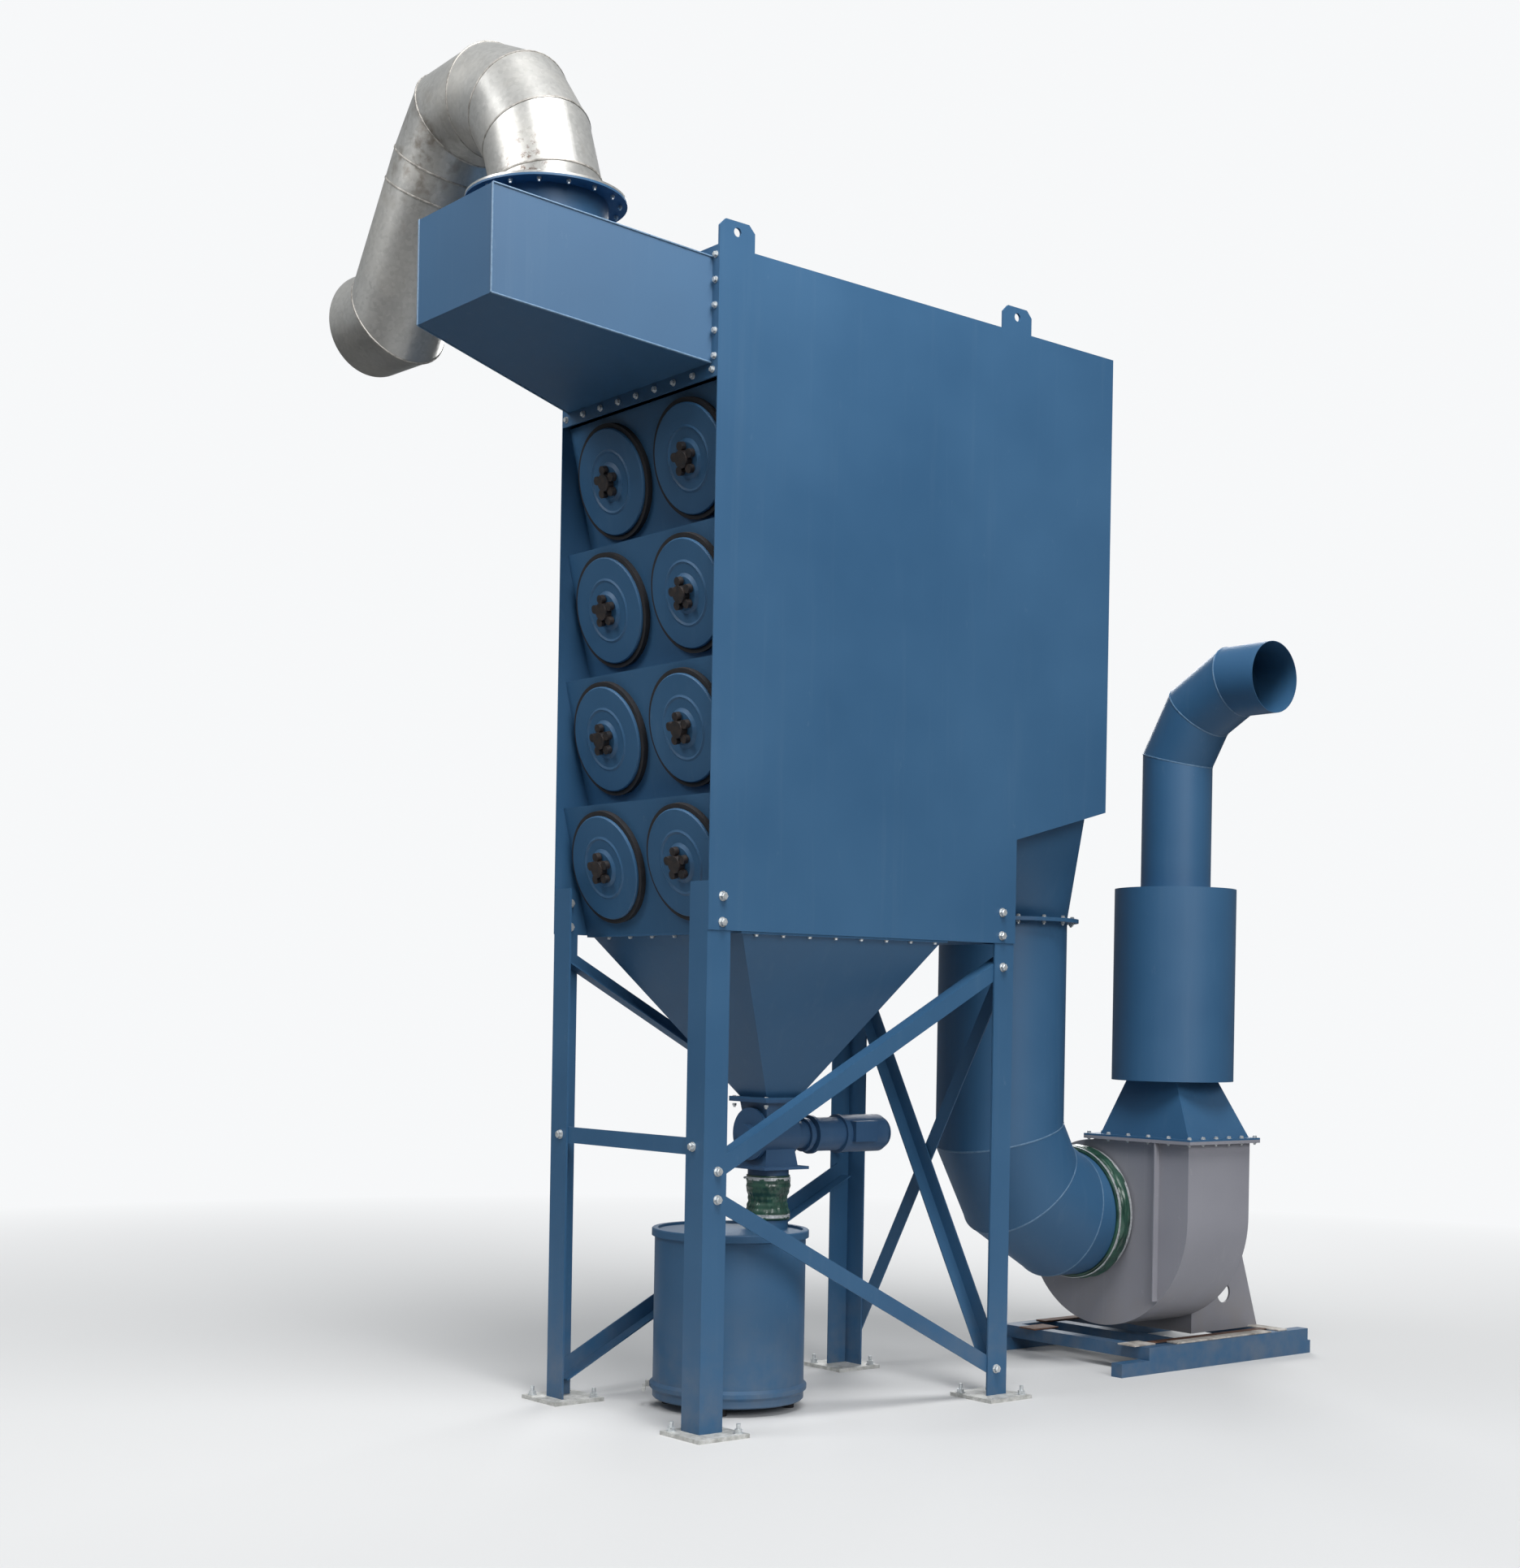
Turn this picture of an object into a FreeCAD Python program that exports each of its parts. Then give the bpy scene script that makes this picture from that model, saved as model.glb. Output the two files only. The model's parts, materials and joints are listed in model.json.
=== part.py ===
"""Cartridge dust collector with its dust drum, clean-air duct, fan and exhaust stack.

Millimetres. The origin is on the floor at the centre of the four legs: +X is the right side
seen from the front, -Y is the front with the cartridge covers, +Z is up.
"""
import FreeCAD, Part
import os
import re
import Sketcher
from FreeCAD import Placement, Rotation, Vector

# The driving dimensions. Each one is a cell of the sheet, and every size below is bound to them.
SIZES = {
    # cabinet
    "body_width": 1000,
    "frame_depth": 1600,
    "plenum_reach": 537,
    "floor_level": 1860,
    "row_pitch": 505,
    "inlet_frame_rise": 480,
    "plenum_front_level": 2287,
    "plenum_rear_level": 2435,
    "skin": 4,
    "lip_setback": 35,
    "foot_setback": 160,
    # cartridge covers
    "column_offset": 250,
    "cover_dia": 412,
    "cover_rim": 11,
    "cover_thick": 3,
    "cover_rise": 12,
    "gasket_reach": 18,
    "cover_bead_dia": 236,
    "cover_dome_dia": 150,
    "cover_dome_rise": 9,
    "gasket_width": 20,
    "gasket_thick": 22,
    "knob_lobe_reach": 48,
    "knob_lobe_dia": 34,
    "knob_hub_dia": 66,
    "knob_thick": 24,
    # inlet box, neck and duct
    "frame_plate": 8,
    "inlet_root_width": 920,
    "inlet_root_low": 3934,
    "inlet_root_high": 4320,
    "inlet_front_width": 500,
    "inlet_front_rise": 130,
    "inlet_reach": 816,
    "inlet_skin": 3,
    "neck_dia": 460,
    "neck_centre": 426,
    "neck_flange_dia": 600,
    "neck_flange_level": 4540,
    "flange_thick": 8,
    "inlet_duct_dia": 412,
    "drop_tilt": 34,
    "drop_length": 500,
    "end_tilt": 92,
    "end_length": 200,
    "duct_skin": 2,
    "end_collar_length": 90,
    # lifting lugs
    "lug_width": 165,
    "lug_rise": 98,
    "lug_thick": 10,
    "lug_hole_dia": 34,
    "lug_rear_centre": 752,
    # hopper, airlock and drum
    "hopper_front": 640,
    "hopper_rear": 420,
    "hopper_flange_width": 24,
    "outlet_centre": 80,
    "outlet_width": 170,
    "outlet_level": 1215,
    "airlock_flange_width": 232,
    "airlock_flange_thick": 12,
    "airlock_height": 280,
    "rotor_case_dia": 190,
    "rotor_case_length": 176,
    "gear_dia": 112,
    "motor_dia": 138,
    "cowl_dia": 154,
    "drive_level": 1066,
    "drive_end": 545,
    "spigot_dia": 166,
    "spigot_length": 50,
    "sleeve_low": 732,
    "sleeve_neck": 18,
    "sleeve_thick": 3,
    "drum_dia": 600,
    "drum_centre": 270,
    "drum_low": 34,
    "drum_high": 704,
    "drum_skin": 3,
    "drum_rim": 12,
    "drum_lid_recess": 10,
    # legs, plates and braces
    "leg_width": 108,
    "leg_thick": 8,
    "leg_overlap": 180,
    "plate_width": 236,
    "plate_thick": 15,
    "plate_centre_x": 460,
    "plate_centre_y": 745,
    "anchor_pitch": 176,
    "anchor_hole_dia": 22,
    "brace_width": 63,
    "brace_thick": 6,
    "bolt_line": 66,
    "side_brace_apex_gap": 104,
    "side_brace_apex": 923,
    "side_brace_high": 1762,
    "side_brace_low": 122,
    "rear_brace_high": 1740,
    "rear_brace_low": 168,
    "front_bar_level": 1064,
    # clean-air funnel and duct
    "funnel_width": 840,
    "funnel_front": 42,
    "funnel_depth": 455,
    "funnel_flange_level": 1990,
    "funnel_flange_dia": 660,
    "clean_duct_dia": 560,
    "clean_duct_axis": 1240,
    "clean_duct_skin": 3,
    "bend_radius": 500,
    "fan_axis_level": 680,
    "connector_dia": 610,
    "connector_length": 100,
    "connector_lap": 28,
    "sleeve_gap": 0.3,
    # fan, skid and stack
    "fan_front": 1800,
    "fan_depth": 420,
    "scroll_reach": 600,
    "scroll_centre": 95,
    "scroll_drop": 65,
    "scroll_shift": 45,
    "fan_rib_offset": 430,
    "fan_rib_reach": 30,
    "fan_rib_length": 700,
    "discharge_level": 1030,
    "discharge_lip": 32,
    "fan_flange_thick": 14,
    "stack_axis_x": 325,
    "transition_top": 286,
    "transition_inset": 36,
    "silencer_low": 1286,
    "silencer_high": 2146,
    "silencer_dia": 540,
    "stack_dia": 310,
    "stack_bend_radius": 440,
    "stack_outlet_level": 3050,
    "stack_outlet_end": 853,
    "pedestal_gap": 30,
    "pedestal_plate": 10,
    "pedestal_half": 262,
    "pedestal_length": 480,
    "pedestal_slope": 146,
    "fan_motor_dia": 260,
    "fan_motor_length": 330,
    "skid_front": 1560,
    "skid_length": 1330,
    "skid_half_width": 450,
    "runner_width": 60,
    "runner_height": 60,
    "deck_height": 56,
    "deck_bar_width": 70,
    "deck_setback": 180,
    "deck_end_gap": 20,
}

# Levels and places that follow from the driving dimensions.
DERIVED = {
    "half_width": "body_width / 2",
    "inner_half": "body_width / 2 - skin",
    "front": "-frame_depth / 2",
    "rear": "frame_depth / 2",
    "plenum_rear": "frame_depth / 2 + plenum_reach",
    "rows_top": "floor_level + 4 * row_pitch",
    "roof_level": "floor_level + 4 * row_pitch + inlet_frame_rise",
    "panel_tilt": "atan((foot_setback - lip_setback) / row_pitch)",
    "neck_y": "-frame_depth / 2 - neck_centre",
    "slope": "atan((plenum_rear_level - plenum_front_level) / plenum_reach)",
    "airlock_low": "outlet_level - airlock_height",
    "sleeve_high": "outlet_level - airlock_height - spigot_length",
    "deck_level": "runner_height + deck_height",
    "fan_centre_y": "fan_front + fan_depth / 2",
    "transition_level": "discharge_level + fan_flange_thick",
    "pedestal_front": "fan_front + fan_depth + pedestal_gap",
    "motor_seat": "fan_axis_level - fan_motor_dia / 2 - 8",
    "discharge_left": "scroll_centre - scroll_shift",
    "connector_start": "fan_front - connector_length - 3",
}

doc = FreeCAD.newDocument("dust_collector")
nodes = []


def make_sheet():
    """Put each driving dimension in the sheet as a plain number with its name."""
    sheet = doc.addObject("Spreadsheet::Sheet", "Sizes")
    for row, (name, value) in enumerate(SIZES.items(), 1):
        sheet.set(f"A{row}", name)
        sheet.set(f"B{row}", str(value))
        sheet.setAlias(f"B{row}", name)
    doc.recompute()


def bind(text):
    """Write a size out in the sheet's cells."""
    def cell(found):
        word = found.group(0)
        if word in DERIVED:
            return "(" + bind(DERIVED[word]) + ")"
        return "Sizes." + word if word in SIZES else word
    return re.sub(r"[a-z][a-z_0-9]*", cell, str(text))


def tie(thing, **bound):
    """Bind properties of an object to sizes."""
    for name, text in bound.items():
        thing.setExpression(name, bind(text))
    return thing


def put(thing, x=0, y=0, z=0, axis=None, angle=0):
    """Place an object, turned about one axis first."""
    if axis is not None:
        thing.Placement = Placement(Vector(), Rotation(Vector(*axis), 1))
        thing.setExpression(".Placement.Rotation.Angle", bind(angle))
    for name, text in (("x", x), ("y", y), ("z", z)):
        thing.setExpression(".Placement.Base." + name, bind(text))
    return thing


def node(label, thing):
    """Name a finished sub-part, which is written to its own file."""
    thing.Label = label
    nodes.append(thing)
    return thing


def box(label, low, size):
    """A plate or block from its low corner and its three lengths."""
    thing = tie(doc.addObject("Part::Box", label), Length=size[0], Width=size[1], Height=size[2])
    return put(thing, *low)


def rod(label, base, radius, length, axis="z"):
    """A round bar from the centre of its base, along +X, +Y or +Z."""
    thing = tie(doc.addObject("Part::Cylinder", label), Radius=radius, Height=length)
    turns = {"x": ((0, 1, 0), 90), "y": ((1, 0, 0), -90), "z": (None, 0)}
    return put(thing, *base, axis=turns[axis][0], angle=turns[axis][1])


def cut(label, base, *tools):
    """A piece less one or more tools."""
    for number, tool in enumerate(tools):
        thing = doc.addObject("Part::Cut", f"{label}_{number}")
        thing.Base = base
        thing.Tool = tool
        base = thing
    return base


def fuse(label, *pieces):
    """Pieces welded into one solid."""
    thing = doc.addObject("Part::MultiFuse", label)
    thing.Shapes = list(pieces)
    thing.Refine = True
    return thing


def group(label, *pieces):
    """Like pieces that share a node and don't touch."""
    thing = doc.addObject("Part::Compound", label)
    thing.Links = list(pieces)
    return thing


def draw(sketch, corners=(), circles=()):
    """Draw a closed outline of corners, and circles, each bound to sizes."""
    count = len(corners)
    turns = [Rotation(Vector(0, 0, 1), 360 * index / max(count, 1)) for index in range(count)]
    starts = [turn.multVec(Vector(100, 0, 0)) for turn in turns]
    for index in range(count):
        sketch.addGeometry(Part.LineSegment(starts[index], starts[(index + 1) % count]), False)
    for index in range(count):
        sketch.addConstraint(Sketcher.Constraint("Coincident", index, 2, (index + 1) % count, 1))
    for index, corner in enumerate(corners):
        place(sketch, index, 1, corner)
    for x, y, radius in circles:
        index = sketch.addGeometry(Part.Circle(Vector(10, 10, 0), Vector(0, 0, 1), 50), False)
        place(sketch, index, 3, (x, y))
        measure(sketch, Sketcher.Constraint("Radius", index, 50), radius)
    return sketch


def measure(sketch, constraint, text):
    """Add one dimension to a sketch and bind it."""
    index = sketch.addConstraint(constraint)
    sketch.setExpression(f"Constraints[{index}]", bind(text))


def place(sketch, index, point, corner):
    """Dimension one point of a sketch from its origin."""
    spot = sketch.getPoint(index, point)
    for kind, start, text in zip(("DistanceX", "DistanceY"), spot, corner):
        measure(sketch, Sketcher.Constraint(kind, -1, 1, index, point, start), text)


def body_sketch(body, plane, name):
    """An empty sketch on one of a body's own origin planes."""
    sketch = body.newObject("Sketcher::SketchObject", name)
    flat = next(item for item in body.Origin.OriginFeatures if item.Role == plane)
    sketch.AttachmentSupport = [(flat, "")]
    sketch.MapMode = "FlatFace"
    return sketch


def padded(label, plane, length, corners=(), circles=(), reverse=False):
    """A body cut from plate or bar: an outline drawn on a plane and padded."""
    body = doc.addObject("PartDesign::Body", label)
    sketch = draw(body_sketch(body, plane, label + "_outline"), corners, circles)
    pad = body.newObject("PartDesign::Pad", label + "_pad")
    pad.Profile = sketch
    pad.Reversed = reverse
    tie(pad, Length=length)
    return body


def turned(label, corners):
    """A body of revolution about +Z, from its outline of (radius, height) corners."""
    body = doc.addObject("PartDesign::Body", label)
    sketch = draw(body_sketch(body, "XZ_Plane", label + "_outline"), corners)
    turn = body.newObject("PartDesign::Revolution", label + "_turn")
    turn.Profile = sketch
    turn.ReferenceAxis = (sketch, ["V_Axis"])
    turn.Angle = 360
    return body


def ring(radius_in, radius_out, low, high):
    """The outline of a flat ring or a short tube."""
    return [(radius_in, low), (radius_out, low), (radius_out, high), (radius_in, high)]


def piped(label, plane, route, radius, skin):
    """A round duct with mitred bends along a route that starts at the origin, up +Z."""
    body = doc.addObject("PartDesign::Body", label)
    spine = body_sketch(body, plane, label + "_route")
    for index in range(len(route) - 1):
        ends = (Vector(100 * index, 100, 0), Vector(100 * index + 100, 100, 0))
        spine.addGeometry(Part.LineSegment(*ends), False)
    for index in range(len(route) - 2):
        spine.addConstraint(Sketcher.Constraint("Coincident", index, 2, index + 1, 1))
    for index, corner in enumerate(route[:-1]):
        place(spine, index, 1, corner)
    place(spine, len(route) - 2, 2, route[-1])
    section = body_sketch(body, "XY_Plane", label + "_section")
    draw(section, circles=[(0, 0, radius), (0, 0, f"{radius} - {skin}")])
    pipe = body.newObject("PartDesign::AdditivePipe", label + "_pipe")
    pipe.Profile = section
    pipe.Spine = spine
    pipe.Transition = "Right corner"
    return body


def wedge(label, bottom, top, heights):
    """A block that tapers upwards, from (x low, x high, y low, y high) at two heights."""
    thing = doc.addObject("Part::Wedge", label)
    tie(thing, Xmin=bottom[0], Xmax=bottom[1], Zmin=f"-({bottom[3]})", Zmax=f"-({bottom[2]})")
    tie(thing, X2min=top[0], X2max=top[1], Z2min=f"-({top[3]})", Z2max=f"-({top[2]})")
    tie(thing, Ymin=heights[0], Ymax=heights[1])
    thing.Placement = Placement(Vector(), Rotation(Vector(1, 0, 0), 90))
    return thing


def square(x, y, width):
    """The x and y limits of a square about a centre."""
    return (f"{x} - {width} / 2", f"{x} + {width} / 2", f"{y} - {width} / 2", f"{y} + {width} / 2")


def shrunk(limits, skin):
    """Limits moved in by the thickness of the plate."""
    return tuple(f"{text} {sign} {skin}" for text, sign in zip(limits, "+-+-"))


def make_cabinet():
    """The cabinet's plates: two sides, roof, rear, apron and the sloping plenum floor."""
    outline = [("front", "floor_level"), ("rear", "floor_level"), ("rear", "plenum_front_level"),
               ("plenum_rear", "plenum_rear_level"), ("plenum_rear", "roof_level"),
               ("front", "roof_level")]
    for label, low in (("side_panel_right", "inner_half"), ("side_panel_left", "-half_width")):
        node(label, put(padded(label, "YZ_Plane", "skin", outline), x=low))
    node("roof_panel", box("roof", ("-inner_half", "front + frame_plate", "roof_level - skin"),
                           ("2 * inner_half", "plenum_rear - front - frame_plate", "skin")))
    node("rear_panel", box("rear", ("-inner_half", "plenum_rear - skin", "plenum_rear_level + skin"),
                           ("2 * inner_half", "skin", "roof_level - plenum_rear_level - 2 * skin")))
    node("rear_apron", box("apron", ("-inner_half", "rear - skin", "floor_level"),
                           ("2 * inner_half", "skin", "plenum_front_level - floor_level")))
    slope = [("rear - skin", "plenum_front_level"), ("rear", "plenum_front_level"),
             ("plenum_rear", "plenum_rear_level"), ("plenum_rear", "plenum_rear_level + skin"),
             ("rear", "plenum_front_level + skin"), ("rear - skin", "plenum_front_level + skin")]
    plate = put(padded("plenum_plate", "YZ_Plane", "2 * inner_half", slope), x="-inner_half")
    mouth = box("plenum_mouth",
                ("-funnel_width / 2 + 20", "rear + funnel_front + 20", "plenum_front_level - 50"),
                ("funnel_width - 40", "funnel_depth - 40", "400"))
    node("plenum_floor", cut("plenum_cut", plate, mouth))
    plate = box("floor_plate", ("-inner_half", "front + foot_setback + skin", "floor_level"),
                ("2 * inner_half", "frame_depth - foot_setback - 2 * skin", "skin"))
    inset = "hopper_flange_width"
    mouth = box("hopper_mouth", (f"-inner_half + {inset}", f"-hopper_front + {inset}", "floor_level - 50"),
                (f"2 * (inner_half - {inset})", f"hopper_front + hopper_rear - 2 * {inset}", "100"))
    notches = [box("leg_notch", (low, "rear - skin - leg_width - 2", "floor_level - 50"),
                   ("leg_width + 2", "leg_width + 10", "100"))
               for low in ("-inner_half", "inner_half - leg_width - 2")]
    node("cabinet_floor", cut("floor_cut", plate, mouth, *notches))


def make_front_panels():
    """Four sheets, one a row, each leaning out at the top and folded back into a ledge."""
    lip = "front + lip_setback"
    foot = "front + foot_setback"
    sheet = [(foot, "0"), (lip, "row_pitch"), (f"{foot} + skin", "row_pitch"),
             (f"{foot} + skin", "row_pitch - skin"), (f"{lip} + 1.3 * skin", "row_pitch - skin"),
             (f"{foot} + skin", "0")]
    for row in range(4):
        label = f"front_panel_{row + 1}"
        panel = padded(label, "YZ_Plane", "2 * inner_half", sheet)
        node(label, put(panel, x="-inner_half", z=f"floor_level + {row} * row_pitch"))


def on_panels(label, make):
    """Eight like pieces, one on each cartridge port, facing out of the leaning panels."""
    pieces = []
    y = "front + (lip_setback + foot_setback) / 2 - cover_rise * tan(panel_tilt)"
    for row in range(4):
        z = f"floor_level + ({row} + 0.5) * row_pitch + cover_rise"
        for side in (-1, 1):
            piece = make(f"{label}_{row}{side + 1}")
            put(piece, x=f"{side} * column_offset", y=y, z=z, axis=(1, 0, 0), angle="90 deg + panel_tilt")
            pieces.append(piece)
    node(label, group(label, *pieces))


def make_covers():
    """The round cartridge covers with their gaskets and star knobs."""
    edge = "cover_dia / 2"
    face = "gasket_thick + cover_rim"
    dome = "gasket_thick + cover_rim + cover_dome_rise"
    disc = [("0", f"{dome} - cover_thick"), ("cover_dome_dia / 2 - 12", f"{dome} - cover_thick"),
            ("cover_dome_dia / 2", f"{face} - cover_thick"), (f"{edge} - 12", f"{face} - cover_thick"),
            (f"{edge} - 4", "gasket_thick"), (edge, "gasket_thick"), (edge, f"{face} - 4"),
            (f"{edge} - 4", face), ("cover_bead_dia / 2 + 8", face),
            ("cover_bead_dia / 2", f"{face} + 4"), ("cover_bead_dia / 2 - 8", face),
            ("cover_dome_dia / 2 + 2", face), ("cover_dome_dia / 2 - 12", dome), ("0", dome)]
    on_panels("cartridge_covers", lambda label: turned(label, disc))
    seal = ring(f"{edge} - gasket_width", f"{edge} + gasket_reach", "0", "gasket_thick")
    on_panels("cover_gaskets", lambda label: turned(label, seal))
    on_panels("star_knobs", lambda label: make_knob(label, dome))


def make_knob(label, seat):
    """A five-lobed hand knob: a hub with lobes on the ends of short arms."""
    hub = rod(label + "_hub", ("0", "0", seat), "knob_hub_dia / 2", "knob_thick + 6")
    pieces = [hub]
    for lobe in range(5):
        reach = (f"knob_lobe_reach * cos({90 + 72 * lobe})", f"knob_lobe_reach * sin({90 + 72 * lobe})")
        base = (*reach, f"{seat} + 4")
        pieces.append(rod(f"{label}_lobe{lobe}", base, "knob_lobe_dia / 2", "knob_thick - 4"))
    return fuse(label + "_fused", *pieces)


def make_inlet():
    """The flanged frame, the tapered inlet box and the round neck on it."""
    plate = box("inlet_plate", ("-inner_half", "front", "rows_top"),
                ("2 * inner_half", "frame_plate", "inlet_frame_rise"))
    window = box("inlet_window", ("-inlet_root_width / 2 + inlet_skin", "front - 50",
                                  "inlet_root_low + inlet_skin"),
                 ("inlet_root_width - 2 * inlet_skin", "100",
                  "inlet_root_high - inlet_root_low - 2 * inlet_skin"))
    node("inlet_frame", cut("inlet_frame_cut", plate, window))
    tube = turned("neck_tube", ring("neck_dia / 2 - inlet_skin", "neck_dia / 2",
                                    "inlet_root_high", "neck_flange_level - 2"))
    disc = turned("neck_disc", ring("neck_dia / 2 - inlet_skin", "neck_flange_dia / 2",
                                    "neck_flange_level - flange_thick", "neck_flange_level"))
    collar = fuse("neck_collar", put(tube, y="neck_y"), put(disc, y="neck_y"))
    node("inlet_neck", cut("inlet_neck_cut", collar, inlet_taper("neck_seat", 0)))
    bore = rod("neck_bore", ("0", "neck_y", "inlet_root_low + inlet_front_rise"),
               "neck_dia / 2 - inlet_skin", "1000")
    hollow = inlet_taper("inlet_hollow", 1)
    node("inlet_box", cut("inlet_box_cut", inlet_taper("inlet_shell", 0), hollow, bore))


def inlet_taper(label, inside):
    """The inlet box as a solid taper, or its hollow, from the front end back to the cabinet."""
    skin = f"{inside} * inlet_skin"
    thing = doc.addObject("Part::Wedge", label)
    tie(thing, Ymin=f"-inlet_reach + {skin}", Ymax=f"{inside} * 1")
    tie(thing, Xmin=f"-inlet_front_width / 2 + {skin}", Xmax=f"inlet_front_width / 2 - {skin}")
    tie(thing, Zmin=f"inlet_root_low + inlet_front_rise + {skin}",
        Zmax=f"inlet_root_high + inlet_front_rise - {skin}")
    tie(thing, X2min=f"-inlet_root_width / 2 + {skin}", X2max=f"inlet_root_width / 2 - {skin}")
    tie(thing, Z2min=f"inlet_root_low + {skin}", Z2max=f"inlet_root_high - {skin}")
    return put(thing, y="front")


# The swan-neck's route from its flange, as (across, up) from the flange's centre.
BEND_ROUTE = [("0", "0"), ("0", "45"), ("-70", "240"), ("-195", "400"), ("-380", "485"),
              ("-600", "478"), ("-728", "332"), ("-728 - 116 * sin(drop_tilt)", "332 - 116 * cos(drop_tilt)")]


def make_inlet_duct():
    """The galvanised swan-neck, mitred from gores, and the leg that drops from it."""
    radius = "inlet_duct_dia / 2"
    seat = "neck_flange_level + flange_thick"
    bend = piped("bend_duct", "XZ_Plane", BEND_ROUTE, radius, "duct_skin")
    put(bend, y="neck_y", z=seat)
    disc = turned("bend_flange", ring(f"{radius} - duct_skin", "neck_flange_dia / 2", "-flange_thick", "0"))
    put(disc, y="neck_y", z=seat)
    node("inlet_bend", fuse("inlet_bend", bend, disc))
    turn = "end_tilt - drop_tilt"
    end = (f"end_length * sin({turn})", f"drop_length + end_length * cos({turn})")
    drop = piped("drop_duct", "XZ_Plane", [("0", "0"), ("0", "drop_length"), end], radius, "duct_skin")
    x, rise = BEND_ROUTE[-1]
    node("inlet_drop", put(drop, x=x, y="neck_y", z=f"{seat} + {rise}", axis=(0, 1, 0),
                           angle="(180 + drop_tilt) * 1 deg"))


def make_lugs():
    """Four lifting lugs on the roof, flush with the sides."""
    half = "lug_width / 2"
    outline = [(f"-{half}", "0"), (half, "0"), (half, "lug_rise - 28"), (f"{half} - 28", "lug_rise"),
               (f"28 - {half}", "lug_rise"), (f"-{half}", "lug_rise - 28")]
    hole = [("0", "lug_rise * 0.6", "lug_hole_dia / 2")]
    lugs = []
    for x in ("half_width - lug_thick", "-half_width"):
        for y in (f"front + {half}", "lug_rear_centre"):
            lug = padded("lug", "YZ_Plane", "lug_thick", outline, hole)
            lugs.append(put(lug, x=x, y=y, z="roof_level"))
    node("lifting_lugs", group("lifting_lugs", *lugs))


def make_hopper():
    """The dust hopper: a lopsided pyramid with a top flange, and a flange at its outlet."""
    top = ("-inner_half", "inner_half", "-hopper_front", "hopper_rear")
    inset = "hopper_flange_width"
    mouth = tuple(f"{text} {sign} {inset}" for text, sign in zip(top, "+-+-"))
    outlet = square("0", "-outlet_centre", "outlet_width")
    heights = ("outlet_level + flange_thick", "floor_level - flange_thick")
    shell = wedge("hopper_shell", outlet, shrunk(mouth, "-skin"), heights)
    lip = box("hopper_lip", (top[0], top[2], "floor_level - flange_thick"),
              ("2 * inner_half", "hopper_front + hopper_rear", "flange_thick"))
    foot = square("0", "-outlet_centre", "airlock_flange_width")
    plate = box("hopper_foot", (foot[0], foot[2], "outlet_level"),
                ("airlock_flange_width", "airlock_flange_width", "flange_thick"))
    inner = shrunk(outlet, "skin")
    hollow = wedge("hopper_hollow", inner, mouth, heights)
    top_bore = box("hopper_top_bore", (mouth[0], mouth[2], "floor_level - flange_thick - 1"),
                   (f"{mouth[1]} - ({mouth[0]})", f"{mouth[3]} - ({mouth[2]})", "100"))
    low_bore = box("hopper_low_bore", (inner[0], inner[2], "outlet_level - 50"),
                   ("outlet_width - 2 * skin", "outlet_width - 2 * skin", "100"))
    node("hopper", cut("hopper_cut", fuse("hopper_whole", shell, lip, plate), hollow, top_bore, low_bore))


def make_legs():
    """Four angle legs with their base plates, and holes for the anchors."""
    plates = []
    for x_name, x in (("right", 1), ("left", -1)):
        for y_name, y in (("front", -1), ("rear", 1)):
            label = f"leg_{y_name}_{x_name}"
            angle = [("0", "0"), (f"{-x} * leg_width", "0"), (f"{-x} * leg_width", f"{-y} * leg_thick"),
                     (f"{-x} * leg_thick", f"{-y} * leg_thick"), (f"{-x} * leg_thick", f"{-y} * leg_width"),
                     ("0", f"{-y} * leg_width")]
            leg = padded(label, "XY_Plane", "floor_level + leg_overlap - plate_thick", angle)
            corner = f"{y} * (frame_depth / 2 - {max(y, 0)} * skin)"
            node(label, put(leg, x=f"{x} * inner_half", y=corner, z="plate_thick"))
            plates.append(make_base_plate(x, y))
    node("base_plates", group("base_plates", *plates))


def make_base_plate(x, y):
    """One base plate with four anchor holes."""
    half = "plate_width / 2"
    outline = [(f"-{half}", f"-{half}"), (half, f"-{half}"), (half, half), (f"-{half}", half)]
    holes = [(f"{a} * anchor_pitch / 2", f"{b} * anchor_pitch / 2", "anchor_hole_dia / 2")
             for a in (-1, 1) for b in (-1, 1)]
    plate = padded("base_plate", "XY_Plane", "plate_thick", outline, holes)
    return put(plate, x=f"{x} * plate_centre_x", y=f"{y} * plate_centre_y")


def make_brace(label, start, end, across, inward):
    """An angle brace between two bolts, its flat flange in the plane of two legs.

    It lies in a plane of constant x ("x") or y ("y"), with the second flange turned inward.
    """
    run = f"({end[0]} - ({start[0]}))"
    rise = f"({end[1]} - ({start[1]}))"
    length = f"sqrt({run} ^ 2 + {rise} ^ 2)"
    half = "brace_width / 2"
    turn = f"{inward} * brace_thick"
    reach = f"{inward} * brace_width"
    lower = f"-{half}"
    flat = [(lower, "0"), (half, "0"), (half, turn), (f"{lower} + brace_thick", turn),
            (f"{lower} + brace_thick", reach), (lower, reach)]
    if across == "x":
        body = padded(label, "XY_Plane", f"{length} + {half}", [(b, a) for a, b in flat])
        angle = f"-atan2({run}; {rise})"
        put(body, x=start[2], y=start[0], z=start[1], axis=(1, 0, 0), angle=angle)
    else:
        body = padded(label, "XY_Plane", f"{length} + {half}", flat)
        put(body, x=start[0], y=start[2], z=start[1], axis=(0, 1, 0), angle=f"atan2({run}; {rise})")
    return node(label, body)


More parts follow.
